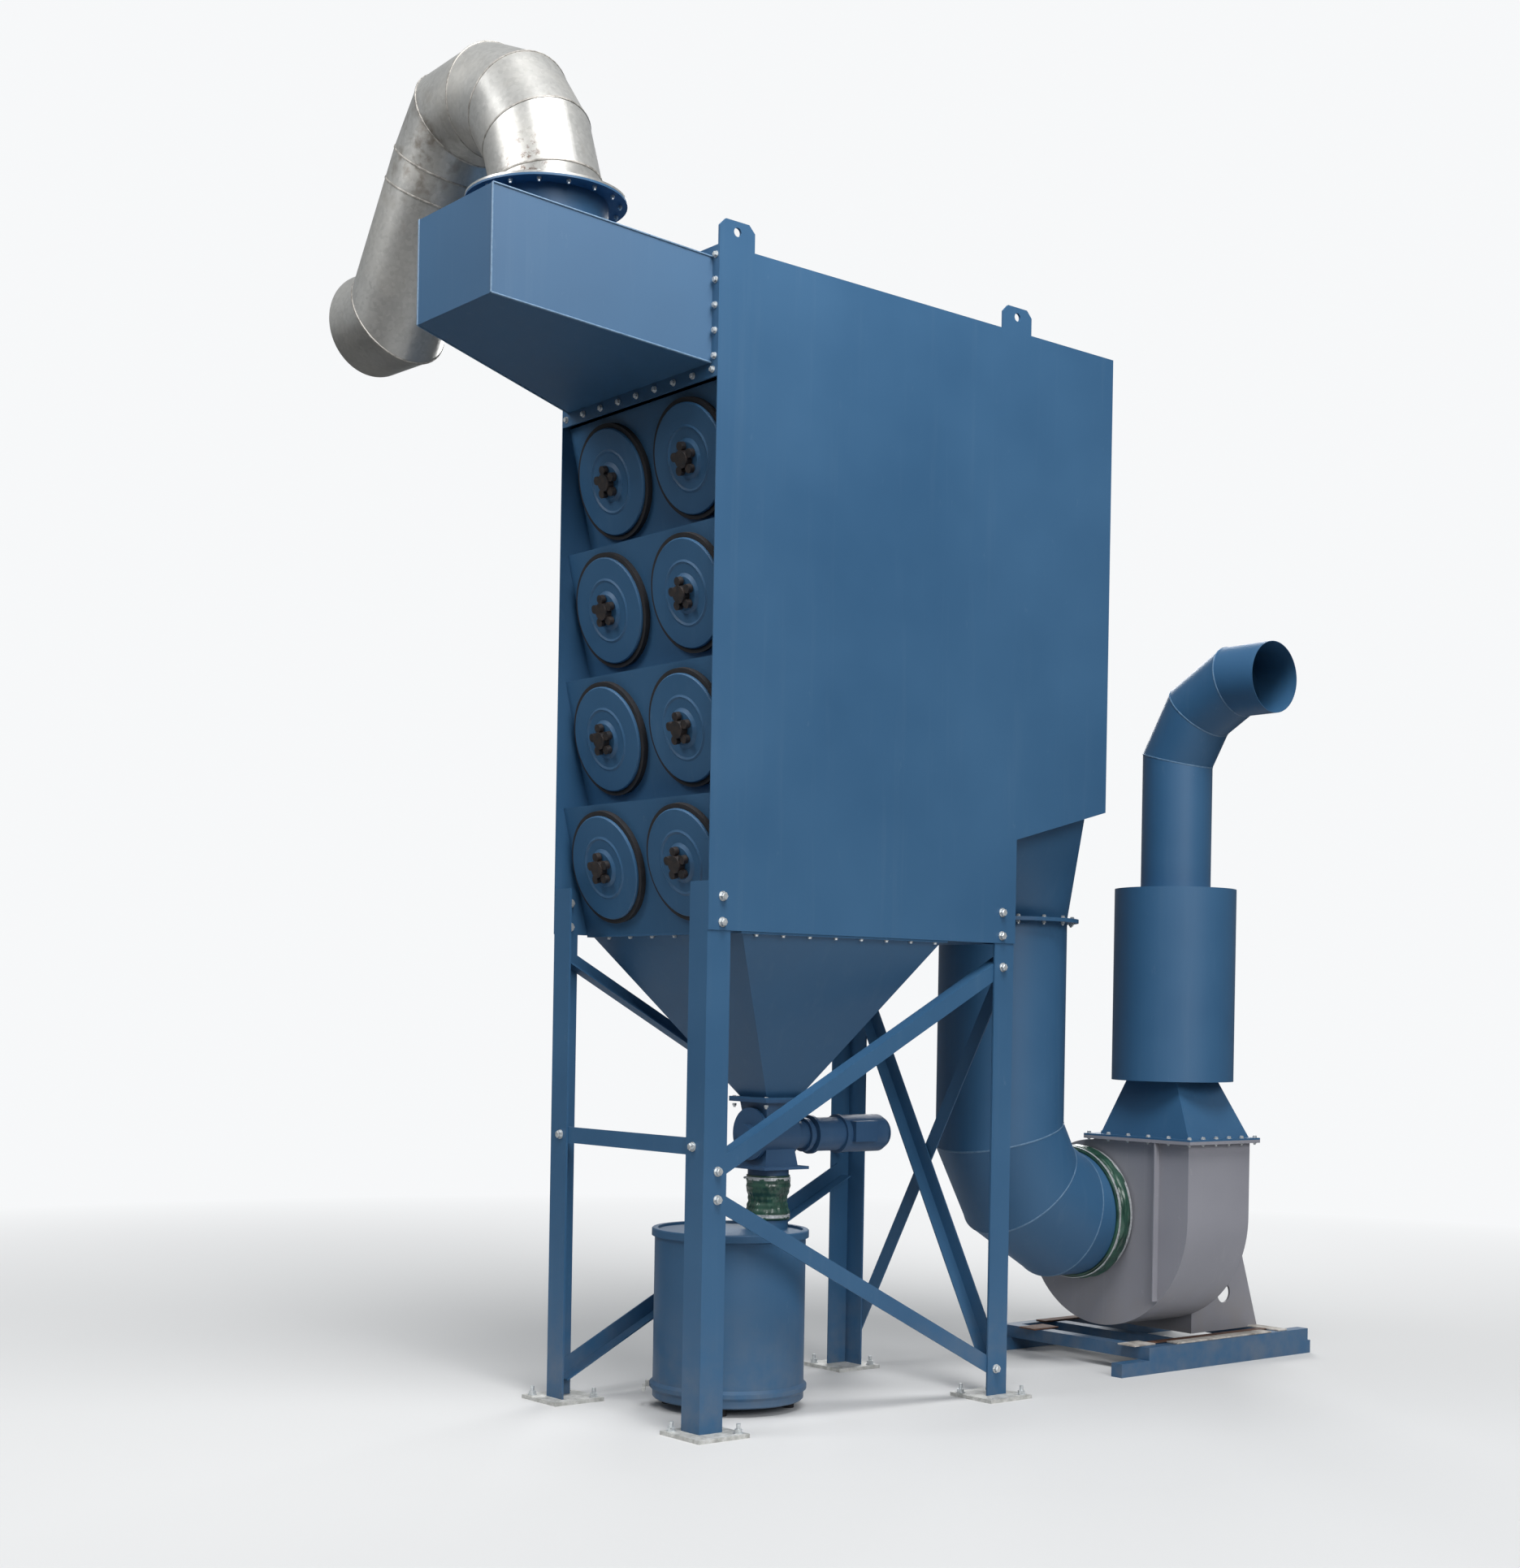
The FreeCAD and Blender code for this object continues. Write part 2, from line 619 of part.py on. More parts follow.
def make_braces():
    """The bracing: a K on each side, a cross at the rear and a bar at the front."""
    line = "frame_depth / 2 - bolt_line"
    for name, sign in (("right", 1), ("left", -1)):
        plane = f"{sign} * (inner_half - leg_thick)"
        for part, gap, far in (("upper", 1, "side_brace_high"), ("lower", -1, "side_brace_low")):
            apex = f"side_brace_apex + {gap} * side_brace_apex_gap / 2"
            start = (f"{-sign} * ({line})", apex, plane)
            end = (f"{sign} * ({line})", far)
            make_brace(f"side_brace_{name}_{part}", start, end, "x", -sign)
    side = "inner_half - bolt_line"
    inner = "rear - skin - leg_thick"
    make_brace("rear_brace_inner", (f"{side}", "rear_brace_low", inner), (f"-({side})", "rear_brace_high"),
               "y", -1)
    make_brace("rear_brace_outer", (f"-({side})", "rear_brace_low", "rear - skin"),
               (f"{side}", "rear_brace_high"), "y", 1)
    bar = [("0", "0"), ("0", "brace_width"), ("brace_thick", "brace_width"),
           ("brace_thick", "brace_thick"), ("brace_width", "brace_thick"), ("brace_width", "0")]
    reach = "inner_half - leg_thick - 2"
    piece = padded("front_bar", "YZ_Plane", f"2 * ({reach})", bar)
    node("front_bar", put(piece, x=f"-({reach})", y="front + leg_thick",
                          z="front_bar_level - brace_width / 2"))


def make_airlock():
    """The rotary airlock under the hopper, and its gearmotor along +Y."""
    middle = "outlet_level - airlock_height / 2"
    centre = "-outlet_centre"
    high = box("airlock_high", ("-airlock_flange_width / 2", f"{centre} - airlock_flange_width / 2",
                                "outlet_level - airlock_flange_thick"),
               ("airlock_flange_width", "airlock_flange_width", "airlock_flange_thick"))
    low = box("airlock_base", ("-airlock_flange_width / 2", f"{centre} - airlock_flange_width / 2",
                               "airlock_low"),
              ("airlock_flange_width", "airlock_flange_width", "airlock_flange_thick"))
    case = rod("rotor_case", ("0", f"{centre} - rotor_case_length / 2", middle), "rotor_case_dia / 2",
               "rotor_case_length", "y")
    throat = square("0", centre, "outlet_width")
    waist = shrunk(throat, "20")
    upper = wedge("airlock_upper", waist, throat, (middle, "outlet_level - airlock_flange_thick / 2"))
    lower = wedge("airlock_lower", throat, waist, ("airlock_low + airlock_flange_thick / 2", middle))
    cover = rod("rotor_cover", ("0", f"{centre} - rotor_case_length / 2 - 14", middle),
                "rotor_case_dia / 2 + 10", "14", "y")
    hub = rod("rotor_hub", ("0", f"{centre} - rotor_case_length / 2 - 44", middle), "38", "40", "y")
    spigot = rod("airlock_spigot", ("0", centre, "sleeve_high"), "spigot_dia / 2", "spigot_length + 2")
    node("airlock_valve", fuse("airlock_valve", high, low, case, upper, lower, cover, hub, spigot))
    make_drive()


def make_drive():
    """The gearmotor: a reducer, two ring flanges, the motor with its box, and the fan cowl."""
    begin = "rotor_case_length / 2 - outlet_centre"
    reducer_end = f"{begin} + 120"
    motor_end = f"{reducer_end} + 150"
    seat = ("drive_level",)
    pieces = [
        rod("reducer", ("0", begin, *seat), "gear_dia / 2", "122", "y"),
        rod("reducer_flange", ("0", begin, *seat), "gear_dia / 2 + 12", "16", "y"),
        rod("motor_flange", ("0", reducer_end, *seat), "motor_dia / 2 + 10", "14", "y"),
        rod("gear_ring", ("0", f"{begin} + 84", *seat), "motor_dia / 2", "20", "y"),
        rod("motor_case", ("0", reducer_end, *seat), "motor_dia / 2", "152", "y"),
        rod("cowl_ring", ("0", motor_end, *seat), "cowl_dia / 2 + 3", "16", "y"),
        rod("cowl", ("0", motor_end, *seat), "cowl_dia / 2", f"drive_end - 40 - ({motor_end})", "y"),
        box("terminal_box", ("20", f"{motor_end} + 30", "drive_level - 30"), ("74", "120", "84")),
        rod("gear_plug", ("-30", f"{begin} + 60", *seat), "34", "motor_dia / 2 + 26"),
    ]
    dome = turned("cowl_dome", [("0", "0"), ("cowl_dia / 2", "0"), ("cowl_dia / 2 - 14", "26"),
                                ("cowl_dia / 2 - 40", "38"), ("0", "40")])
    put(dome, y="drive_end - 40", z="drive_level", axis=(1, 0, 0), angle=-90)
    node("airlock_gearmotor", fuse("airlock_gearmotor", *pieces, dome))


def make_dust_outlet():
    """The flexible dust sleeve and the drum it drops into."""
    outside = "spigot_dia / 2 + sleeve_gap + sleeve_thick"
    inside = "spigot_dia / 2 + sleeve_gap"
    lap = "24"
    waist = "(sleeve_low + sleeve_high) / 2"
    sleeve = [(inside, "sleeve_low"), (outside, "sleeve_low"), (outside, f"sleeve_low + {lap}"),
              (f"{outside} - sleeve_neck", waist), (outside, "sleeve_high - 10"),
              (outside, f"sleeve_high + {lap}"), (inside, f"sleeve_high + {lap}"),
              (inside, "sleeve_high - 10"), (f"{inside} - sleeve_neck", waist),
              (inside, f"sleeve_low + {lap}")]
    node("dust_sleeve", put(turned("dust_sleeve", sleeve), y="-outlet_centre"))
    edge = "drum_dia / 2"
    shell = [("0", "drum_low"), (f"{edge} - 6", "drum_low"), (edge, "drum_low + 6"),
             (edge, "drum_low + 30"), (f"{edge} + drum_rim", "drum_low + 42"),
             (f"{edge} + drum_rim", "drum_low + 58"), (edge, "drum_low + 70"),
             (edge, "drum_high - 30"), (f"{edge} - drum_skin", "drum_high - 30"),
             (f"{edge} - drum_skin", "drum_low + 8"), ("0", "drum_low + 8")]
    node("dust_drum", put(turned("dust_drum", shell), y="-drum_centre"))
    lid = [("0", "drum_high - drum_lid_recess - 3"), (f"{edge} - 10", "drum_high - drum_lid_recess - 3"),
           (f"{edge} - 8", "drum_high - 8"), (edge, "drum_high - 8"), (edge, "drum_high - 30"),
           (f"{edge} + drum_rim", "drum_high - 30"), (f"{edge} + drum_rim", "drum_high - 4"),
           (f"{edge} + drum_rim - 4", "drum_high"), (f"{edge} - 12", "drum_high"),
           (f"{edge} - 14", "drum_high - drum_lid_recess"), ("0", "drum_high - drum_lid_recess")]
    plate = put(turned("drum_lid_plate", lid), y="-drum_centre")
    stub = rod("lid_stub", ("0", "-outlet_centre", "drum_high - drum_lid_recess - 2"),
               "spigot_dia / 2", "sleeve_low + 22 - drum_high + drum_lid_recess + 2")
    bore = rod("lid_bore", ("0", "-outlet_centre", "drum_high - 100"), "spigot_dia / 2 - drum_skin", "300")
    node("drum_lid", cut("drum_lid", fuse("drum_lid_whole", plate, stub), bore))
    feet = []
    for turn in (45, 135, 225, 315):
        base = (f"(drum_dia / 2 - 60) * cos({turn})", f"(drum_dia / 2 - 60) * sin({turn}) - drum_centre", "0")
        feet.append(rod("drum_foot", base, "24", "drum_low"))
    node("drum_feet", group("drum_feet", *feet))
    bar = box("clamp_bar", ("-20", "-drum_dia / 2 - drum_rim - 16", "drum_low + 38"), ("40", "16", "24"))
    lever = box("clamp_lever", ("-6", "-drum_dia / 2 - drum_rim - 28", "drum_low + 30"), ("90", "14", "14"))
    lock = fuse("drum_clamp", bar, lever)
    node("drum_clamp", put(lock, y="-drum_centre", axis=(0, 0, 1), angle=-38))


def make_clean_side():
    """The square-to-round funnel under the plenum and the mitred clean-air duct."""
    radius = "clean_duct_dia / 2"
    node("outlet_funnel", make_funnel())
    tangent = "bend_radius * tan(15)"
    high = "fan_axis_level + bend_radius - (funnel_flange_level - 2 * flange_thick)"
    step = f"2 * {tangent}"
    route = [("0", "0"), ("0", f"{high} - {tangent}"),
             (f"{step} * sin(30)", f"{high} - {tangent} - {step} * cos(30)"),
             (f"{step} * (sin(30) + sin(60))", f"{high} - {tangent} - {step} * (cos(30) + cos(60))"),
             ("connector_start + connector_lap - clean_duct_axis",
              f"{high} - {tangent} - {step} * (cos(30) + cos(60))")]
    duct = piped("clean_duct", "YZ_Plane", route, radius, "clean_duct_skin")
    seat = "funnel_flange_level - 2 * flange_thick"
    put(duct, y="clean_duct_axis", z=seat)
    disc = turned("clean_flange", ring(f"{radius} - clean_duct_skin", "funnel_flange_dia / 2", "0",
                                       "flange_thick"))
    put(disc, y="clean_duct_axis", z=seat)
    node("clean_air_duct", fuse("clean_air_duct", duct, disc))
    sleeve = turned("connector", ring(f"{radius} + sleeve_gap", "connector_dia / 2", "0", "connector_length"))
    put(sleeve, y="connector_start", z="fan_axis_level", axis=(1, 0, 0), angle=-90)
    node("fan_connector", sleeve)


def size(name):
    """One driving dimension, read from the sheet."""
    return float(doc.Sizes.get(name))


def make_funnel():
    """The funnel from the sloping plenum floor down to the duct's round flange."""
    shell = doc.addObject("Part::Feature", "funnel_shell")
    shell.Shape = funnel_block(0).cut(funnel_block(size("clean_duct_skin")))
    radius = "clean_duct_dia / 2"
    disc = turned("funnel_flange", ring(f"{radius} - clean_duct_skin", "funnel_flange_dia / 2", "0",
                                        "flange_thick"))
    put(disc, y="clean_duct_axis", z="funnel_flange_level - flange_thick")
    return fuse("outlet_funnel", shell, disc)


def funnel_block(inset):
    """The funnel as a solid, shrunk sideways by an inset: four corners above, a circle below."""
    slope = (size("plenum_rear_level") - size("plenum_front_level")) / size("plenum_reach")
    near = size("funnel_front") + inset
    far = size("funnel_front") + size("funnel_depth") - inset
    half = size("funnel_width") / 2 - inset
    rear = size("frame_depth") / 2
    level = size("plenum_front_level")
    corners = [Vector(x, rear + y, level + slope * y)
               for x, y in ((-half, near), (half, near), (half, far), (-half, far))]
    radius = size("clean_duct_dia") / 2 - inset
    centre = Vector(0, size("clean_duct_axis"), size("funnel_flange_level"))
    turns = [Rotation(Vector(0, 0, 1), angle) for angle in range(-135, 225, 45)]
    points = [centre + turn.multVec(Vector(radius, 0, 0)) for turn in turns]
    arcs = [Part.Arc(points[2 * k], points[2 * k + 1], points[(2 * k + 2) % 8]).toShape()
            for k in range(4)]
    sides = [Part.makeRuledSurface(Part.makeLine(corners[k], corners[(k + 1) % 4]), arcs[k])
             for k in range(4)]
    ends = [Part.Face(Part.makePolygon(corners + corners[:1])), Part.Face(Part.Wire(arcs))]
    faces = [face for piece in sides + ends for face in piece.Faces]
    shell = Part.makeShell(faces)
    shell.sewShape()
    solid = Part.makeSolid(shell)
    solid.fixTolerance(1e-4)
    return solid


def scroll_sketch(body):
    """The fan scroll: a discharge neck over three quarter arcs whose radii shrink."""
    sketch = body_sketch(body, "XZ_Plane", "scroll_outline")
    low = "-scroll_drop"
    arcs = [("scroll_centre", "0", "Vertical", 270), ("scroll_centre", low, "Horizontal", 180),
            ("discharge_left", low, "Vertical", 90)]
    for index, (x, y, kind, turn) in enumerate(arcs):
        circle = Part.Circle(Vector(100, -50 * index, 0), Vector(0, 0, 1), 500 - 60 * index)
        start = FreeCAD.Units.Quantity(turn, FreeCAD.Units.Angle).getValueAs("rad").Value
        quarter = FreeCAD.Units.Quantity(90, FreeCAD.Units.Angle).getValueAs("rad").Value
        sketch.addGeometry(Part.ArcOfCircle(circle, start, start + quarter), False)
        place(sketch, index, 3, (x, y))
        if index == 0:
            place(sketch, 0, 2, ("scroll_reach", "0"))
        else:
            sketch.addConstraint(Sketcher.Constraint("Coincident", index - 1, 1, index, 2))
        sketch.addConstraint(Sketcher.Constraint(kind, index, 3, index, 1))
    rise = "discharge_level - fan_axis_level"
    top = "scroll_reach - scroll_centre - scroll_shift - 2 * scroll_drop"
    corners = [("discharge_left", top), ("discharge_left", rise), ("scroll_reach", rise), ("scroll_reach", "0")]
    for index in range(3):
        ends = (Vector(0, 300 + 10 * index, 0), Vector(10, 310 + 10 * index, 0))
        sketch.addGeometry(Part.LineSegment(*ends), False)
    sketch.addConstraint(Sketcher.Constraint("Coincident", 2, 1, 3, 1))
    sketch.addConstraint(Sketcher.Constraint("Coincident", 5, 2, 0, 2))
    for index, corner in enumerate(corners[1:3]):
        sketch.addConstraint(Sketcher.Constraint("Coincident", 3 + index, 2, 4 + index, 1))
        place(sketch, 4 + index, 1, corner)
    return sketch


def make_fan():
    """The fan's scroll housing, its flanged discharge and the transition to the silencer."""
    body = doc.addObject("PartDesign::Body", "fan_scroll")
    pad = body.newObject("PartDesign::Pad", "scroll_pad")
    pad.Profile = scroll_sketch(body)
    tie(pad, Length="fan_depth")
    put(body, y="fan_front + fan_depth", z="fan_axis_level")
    collar = rod("fan_inlet", ("0", "fan_front - 3 - connector_lap", "fan_axis_level"),
                 "clean_duct_dia / 2", "connector_lap + 5", "y")
    lip = "discharge_lip"
    flange = box("fan_flange", (f"discharge_left - {lip}", f"fan_front - {lip}",
                                "discharge_level - fan_flange_thick"),
                 (f"scroll_reach - discharge_left + 2 * {lip}", f"fan_depth + 2 * {lip}",
                  "fan_flange_thick"))
    hub = rod("fan_hub", ("0", "fan_front + fan_depth - 2", "fan_axis_level"), "70", "26", "y")
    node("fan_housing", fuse("fan_housing", body, collar, flange, hub))
    rib = box("fan_rib", ("fan_rib_offset", "fan_front - fan_rib_reach",
                          "discharge_level - fan_flange_thick - fan_rib_length"),
              ("6", "fan_rib_reach", "fan_rib_length"))
    node("fan_rib", rib)
    low = ("discharge_left + transition_inset", "scroll_reach", "fan_front", "fan_front + fan_depth")
    top = square("stack_axis_x", "fan_centre_y", "transition_top")
    heights = ("discharge_level", "silencer_low")
    shell = wedge("transition_shell", low, top, heights)
    hollow = wedge("transition_hollow", shrunk(low, "skin"), shrunk(top, "skin"), heights)
    plate = box("transition_flange", (f"discharge_left - {lip}", f"fan_front - {lip}", "discharge_level"),
                (f"scroll_reach - discharge_left + 2 * {lip}", f"fan_depth + 2 * {lip}", "flange_thick"))
    node("fan_transition", cut("transition_cut", fuse("transition_whole", shell, plate), hollow))


def make_stack():
    """The silencer and the exhaust stack with its mitred elbow."""
    core = "stack_dia / 2"
    shell = ring(f"{core} + 1", "silencer_dia / 2", "silencer_low", "silencer_high")
    node("silencer", put(turned("silencer", shell), x="stack_axis_x", y="fan_centre_y"))
    tangent = "stack_bend_radius * tan(15)"
    step = f"2 * {tangent}"
    base = "silencer_high - 60"
    high = f"stack_outlet_level - stack_bend_radius - ({base})"
    route = [("0", "0"), ("0", f"{high} + {tangent}"),
             (f"{step} * sin(30)", f"{high} + {tangent} + {step} * cos(30)"),
             (f"{step} * (sin(30) + sin(60))", f"{high} + {tangent} + {step} * (cos(30) + cos(60))"),
             ("stack_outlet_end - stack_axis_x", f"{high} + {tangent} + {step} * (cos(30) + cos(60))")]
    stack = piped("exhaust_stack", "XZ_Plane", route, core, "duct_skin")
    node("exhaust_stack", put(stack, x="stack_axis_x", y="fan_centre_y", z=base))


def make_pedestal():
    """The motor's pedestal behind the fan: two side plates and a shelf, with the motor on it."""
    front = "pedestal_front"
    seat = "motor_seat - pedestal_plate"
    reach = f"{front} + pedestal_length"
    outline = [(front, "deck_level"), (reach, "deck_level"), (f"{reach} - pedestal_slope", seat), (front, seat)]
    hole = [(f"{reach} - 250", "deck_level + 172", "45")]
    sides = [put(padded("pedestal_side", "YZ_Plane", "pedestal_plate", outline, hole), x=x)
             for x in ("pedestal_half - pedestal_plate", "-pedestal_half")]
    shelf = box("pedestal_shelf", ("-pedestal_half", front, seat),
                ("2 * pedestal_half", "pedestal_length - pedestal_slope", "pedestal_plate"))
    web = box("pedestal_web", ("-pedestal_half", front, "deck_level"),
              ("2 * pedestal_half", "pedestal_plate", f"{seat} - deck_level"))
    node("fan_pedestal", fuse("fan_pedestal", *sides, shelf, web))
    begin = f"{front} + 4"
    case = rod("fan_motor_case", ("0", begin, "fan_axis_level"), "fan_motor_dia / 2",
               "fan_motor_length", "y")
    shaft = rod("motor_shaft", ("0", "fan_front + fan_depth + 24", "fan_axis_level"), "30",
                "pedestal_gap", "y")
    foot = box("motor_foot", ("-110", f"{begin} + 40", "motor_seat"),
               ("220", "200", "fan_axis_level - motor_seat"))
    terminal = box("motor_box", ("-60", f"{begin} + 80", "fan_axis_level + fan_motor_dia / 2 - 20"),
                   ("120", "120", "70"))
    node("fan_motor", fuse("fan_motor", case, shaft, foot, terminal))


def make_skid():
    """The fan's skid: two runners on the floor with a deck frame on them."""
    side = "skid_half_width"
    inner = f"{side} - runner_width"
    level = "runner_height"
    runners = [box("runner", (x, "skid_front", "0"), ("runner_width", "skid_length", "runner_height"))
               for x in (inner, f"-{side}")]
    node("skid_runners", group("skid_runners", *runners))
    start = "skid_front + deck_setback"
    length = "skid_length - deck_setback - deck_end_gap"
    rails = [box("deck_rail", (x, start, level), ("runner_width", length, "deck_height"))
             for x in (inner, f"-{side}")]
    node("skid_rails", group("skid_rails", *rails))
    bars = [box("deck_bar", (f"-({inner})", y, level), (f"2 * ({inner})", "deck_bar_width", "deck_height"))
            for y in (start, "fan_centre_y", "pedestal_front + pedestal_length - deck_bar_width")]
    node("skid_cross_bars", group("skid_cross_bars", *bars))


def export():
    """Check every object, then write each node's file."""
    doc.recompute()
    failed = [thing.Label for thing in doc.Objects if {"Invalid", "Error"} & set(thing.State)]
    if failed:
        raise RuntimeError(f"these failed: {failed}")
    os.makedirs("parts", exist_ok=True)
    for thing in nodes:
        if thing.Shape.isNull() or not thing.Shape.isValid():
            raise RuntimeError(f"{thing.Label} has no valid shape")
    for thing in nodes:
        thing.Shape.exportStep(f"parts/{thing.Label}.step")
        print(f"{thing.Label}: {len(thing.Shape.Solids)} solid, {thing.Shape.Volume / 1e6:.2f} litres")


make_sheet()
make_cabinet()
make_front_panels()
make_covers()
make_inlet()
make_inlet_duct()
make_lugs()
make_hopper()
make_legs()
make_braces()
make_airlock()
make_dust_outlet()
make_clean_side()
make_fan()
make_stack()
make_pedestal()
make_skid()
export()
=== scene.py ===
# %% [markdown]
# # A cartridge dust collector, dressed for its portrait
# The steel shell, frame, ducts and fan come ready made from the CAD model.
# Here each surface gets its finish, and the small things are added: bolts, weld
# beads, duct seams, cloth sleeves and dirt. Everything is in metres, Z up.

# %% Load the frame, with a helper that reads the size of a part
import json
from math import cos, sin, tan, pi, radians

import bpy
import bmesh
from mathutils import Matrix, Vector, noise


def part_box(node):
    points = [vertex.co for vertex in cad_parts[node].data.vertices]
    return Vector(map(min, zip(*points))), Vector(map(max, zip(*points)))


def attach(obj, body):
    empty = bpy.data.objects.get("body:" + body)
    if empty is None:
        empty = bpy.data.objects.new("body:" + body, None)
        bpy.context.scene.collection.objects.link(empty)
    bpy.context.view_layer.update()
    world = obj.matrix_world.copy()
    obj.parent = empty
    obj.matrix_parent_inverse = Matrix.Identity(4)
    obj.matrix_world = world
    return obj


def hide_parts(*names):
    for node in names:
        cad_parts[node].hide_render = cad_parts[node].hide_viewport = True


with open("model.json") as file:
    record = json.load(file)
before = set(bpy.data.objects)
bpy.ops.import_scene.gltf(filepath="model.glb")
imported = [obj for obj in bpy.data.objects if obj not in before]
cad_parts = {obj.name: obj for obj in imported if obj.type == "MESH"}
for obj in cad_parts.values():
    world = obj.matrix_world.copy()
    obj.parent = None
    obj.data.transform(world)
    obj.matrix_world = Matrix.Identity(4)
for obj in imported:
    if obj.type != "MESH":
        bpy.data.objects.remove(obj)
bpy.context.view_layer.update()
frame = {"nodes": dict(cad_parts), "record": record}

# %% [markdown]
# ## The camera
# The eye stands 1.56 m above the floor and looks level, so upright edges stay
# upright. The lens is shifted up to take in the top, as an architect's view
# camera would. Tipping the camera up would show the top too, but the legs would
# seem to lean.

# %% Place the camera
AZIMUTH, PITCH, ROLL = radians(50.874), radians(-0.098), radians(0.975)
EYE = Vector((6.8181, -5.7502, 1.5625))


def aim(eye, azimuth, pitch, roll):
    """The matrix of a camera at eye, turned from +Y towards -X, tipped and rolled."""
    ahead = Vector((-sin(azimuth) * cos(pitch), cos(azimuth) * cos(pitch), sin(pitch)))
    right = ahead.cross(Vector((0, 0, 1))).normalized()
    up = right.cross(ahead)
    side = right * cos(roll) + up * sin(roll)
    top = up * cos(roll) - right * sin(roll)
    turn = Matrix((side, top, -ahead)).transposed().to_4x4()
    return Matrix.Translation(eye) @ turn


lens = bpy.data.cameras.new("portrait_camera")
lens.lens = 50.56
lens.shift_x = 0.0083
lens.shift_y = 0.1477
lens.clip_end = 100
camera = bpy.data.objects.new("portrait_camera", lens)
bpy.context.collection.objects.link(camera)
camera.matrix_world = aim(EYE, AZIMUTH, PITCH, ROLL)
bpy.context.scene.camera = camera
print("camera at", [round(v, 2) for v in EYE])

# %% [markdown]
# ## Floor and light
# A pale floor catches a soft shadow and fades into the backdrop. A broad sun and a
# high softbox light the tall side sheet. A small softbox lifts the front with its
# covers, and a fill lamp behind does the same for the rear.


# %% Floor, sky and lamps
def link(name, data):
    """A new object in the scene."""
    thing = bpy.data.objects.new(name, data)
    bpy.context.collection.objects.link(thing)
    return thing


def lamp(name, kind, energy, aim_from, size):
    """A lamp that shines from a point towards the middle of the machine."""
    light = bpy.data.lights.new(name, kind)
    light.energy = energy
    if kind == "SUN":
        light.angle = size
    else:
        light.size = size
    thing = link(name, light)
    thing.location = aim_from
    middle = Vector((0, 0.4, 2.2))
    thing.rotation_euler = (middle - Vector(aim_from)).to_track_quat("-Z", "Y").to_euler()
    return thing


sky = bpy.data.worlds.new("studio_sky")
sky.use_nodes = True
sky_nodes, sky_links = sky.node_tree.nodes, sky.node_tree.links
ambient = sky_nodes["Background"]
ambient.inputs["Color"].default_value = (0.90, 0.96, 1.0, 1)
ambient.inputs["Strength"].default_value = 0.29
BACKDROP = (0.93, 0.94, 0.95, 1)
backdrop = sky_nodes.new("ShaderNodeBackground")
backdrop.inputs["Color"].default_value = BACKDROP
seen = sky_nodes.new("ShaderNodeLightPath")
choose = sky_nodes.new("ShaderNodeMixShader")
sky_links.new(seen.outputs["Is Camera Ray"], choose.inputs["Fac"])
sky_links.new(ambient.outputs["Background"], choose.inputs[1])
sky_links.new(backdrop.outputs["Background"], choose.inputs[2])
sky_links.new(choose.outputs["Shader"], sky_nodes["World Output"].inputs["Surface"])
bpy.context.scene.world = sky
bpy.context.scene.view_settings.view_transform = "Standard"
lamp("sun", "SUN", 1.35, (9, -2.4, 6.5), radians(25))
lamp("top_softbox", "AREA", 640, (3.4, -1.5, 8.8), 3.6)
lamp("front_softbox", "AREA", 170, (-1.0, -5.4, 6.6), 2.5)
lamp("rear_fill", "AREA", 420, (-5.5, 7.0, 6.0), 4.0)


# %% [markdown]
# ## Helpers for meshes
# Every new piece is a bmesh that becomes one object, rides on the one fixed body
# and wears the finish it is given. `hug` turns a shape made along +Z to face
# another way, which is how bolts and rings find their seats.


# %% Mesh helpers
def finish_piece(name, bm, finish, merge=0.0):
    """Turn a bmesh into an object with a finish, riding on the fixed body."""
    if merge:
        bmesh.ops.remove_doubles(bm, verts=bm.verts, dist=merge)
    bmesh.ops.recalc_face_normals(bm, faces=bm.faces)
    mesh = bpy.data.meshes.new(name)
    bm.to_mesh(mesh)
    bm.free()
    mesh.materials.append(finish)
    mesh.shade_smooth()
    mesh.set_sharp_from_angle(angle=radians(35))
    piece = link(name, mesh)
    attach(piece, "root")
    print(name, len(mesh.polygons), "faces")
    return piece


def hug(place, axis):
    """The matrix that carries a shape made along +Z at the origin to a seat."""
    turn = Vector((0, 0, 1)).rotation_difference(Vector(axis)).to_matrix().to_4x4()
    return Matrix.Translation(Vector(place)) @ turn


def add_rod(bm, matrix, radius, low, high, sides=24, taper=1.0):
    """A closed rod between two heights of its own axis."""
    move = matrix @ Matrix.Translation((0, 0, (low + high) / 2))
    bmesh.ops.create_cone(bm, cap_ends=True, segments=sides, radius1=radius,
                          radius2=radius * taper, depth=high - low, matrix=move)


def add_bar(bm, low, high, edge=0.002):
    """A box between two corners with its edges eased."""
    low, high = Vector(low), Vector(high)
    size = Matrix.Diagonal((*(high - low), 1))
    made = bmesh.ops.create_cube(bm, size=1, matrix=Matrix.Translation((low + high) / 2) @ size)
    edges = {e for v in made["verts"] for e in v.link_edges}
    bmesh.ops.bevel(bm, geom=list(edges), offset=edge, offset_type="OFFSET", segments=2,
                    profile=0.5, affect="EDGES", material=-1)


def add_lathe(bm, matrix, profile, steps=64):
    """Spin a profile of (radius, height) pairs all round its own axis."""
    old = set(bm.verts)
    verts = [bm.verts.new((radius, 0, height)) for radius, height in profile]
    edges = [bm.edges.new(pair) for pair in zip(verts, verts[1:])]
    bmesh.ops.spin(bm, geom=verts + edges, cent=(0, 0, 0), axis=(0, 0, 1), dvec=(0, 0, 0),
                   angle=2 * pi, steps=steps, use_merge=True, use_duplicate=False)
    made = [vert for vert in bm.verts if vert not in old]
    bmesh.ops.transform(bm, matrix=matrix, verts=made)
    return made


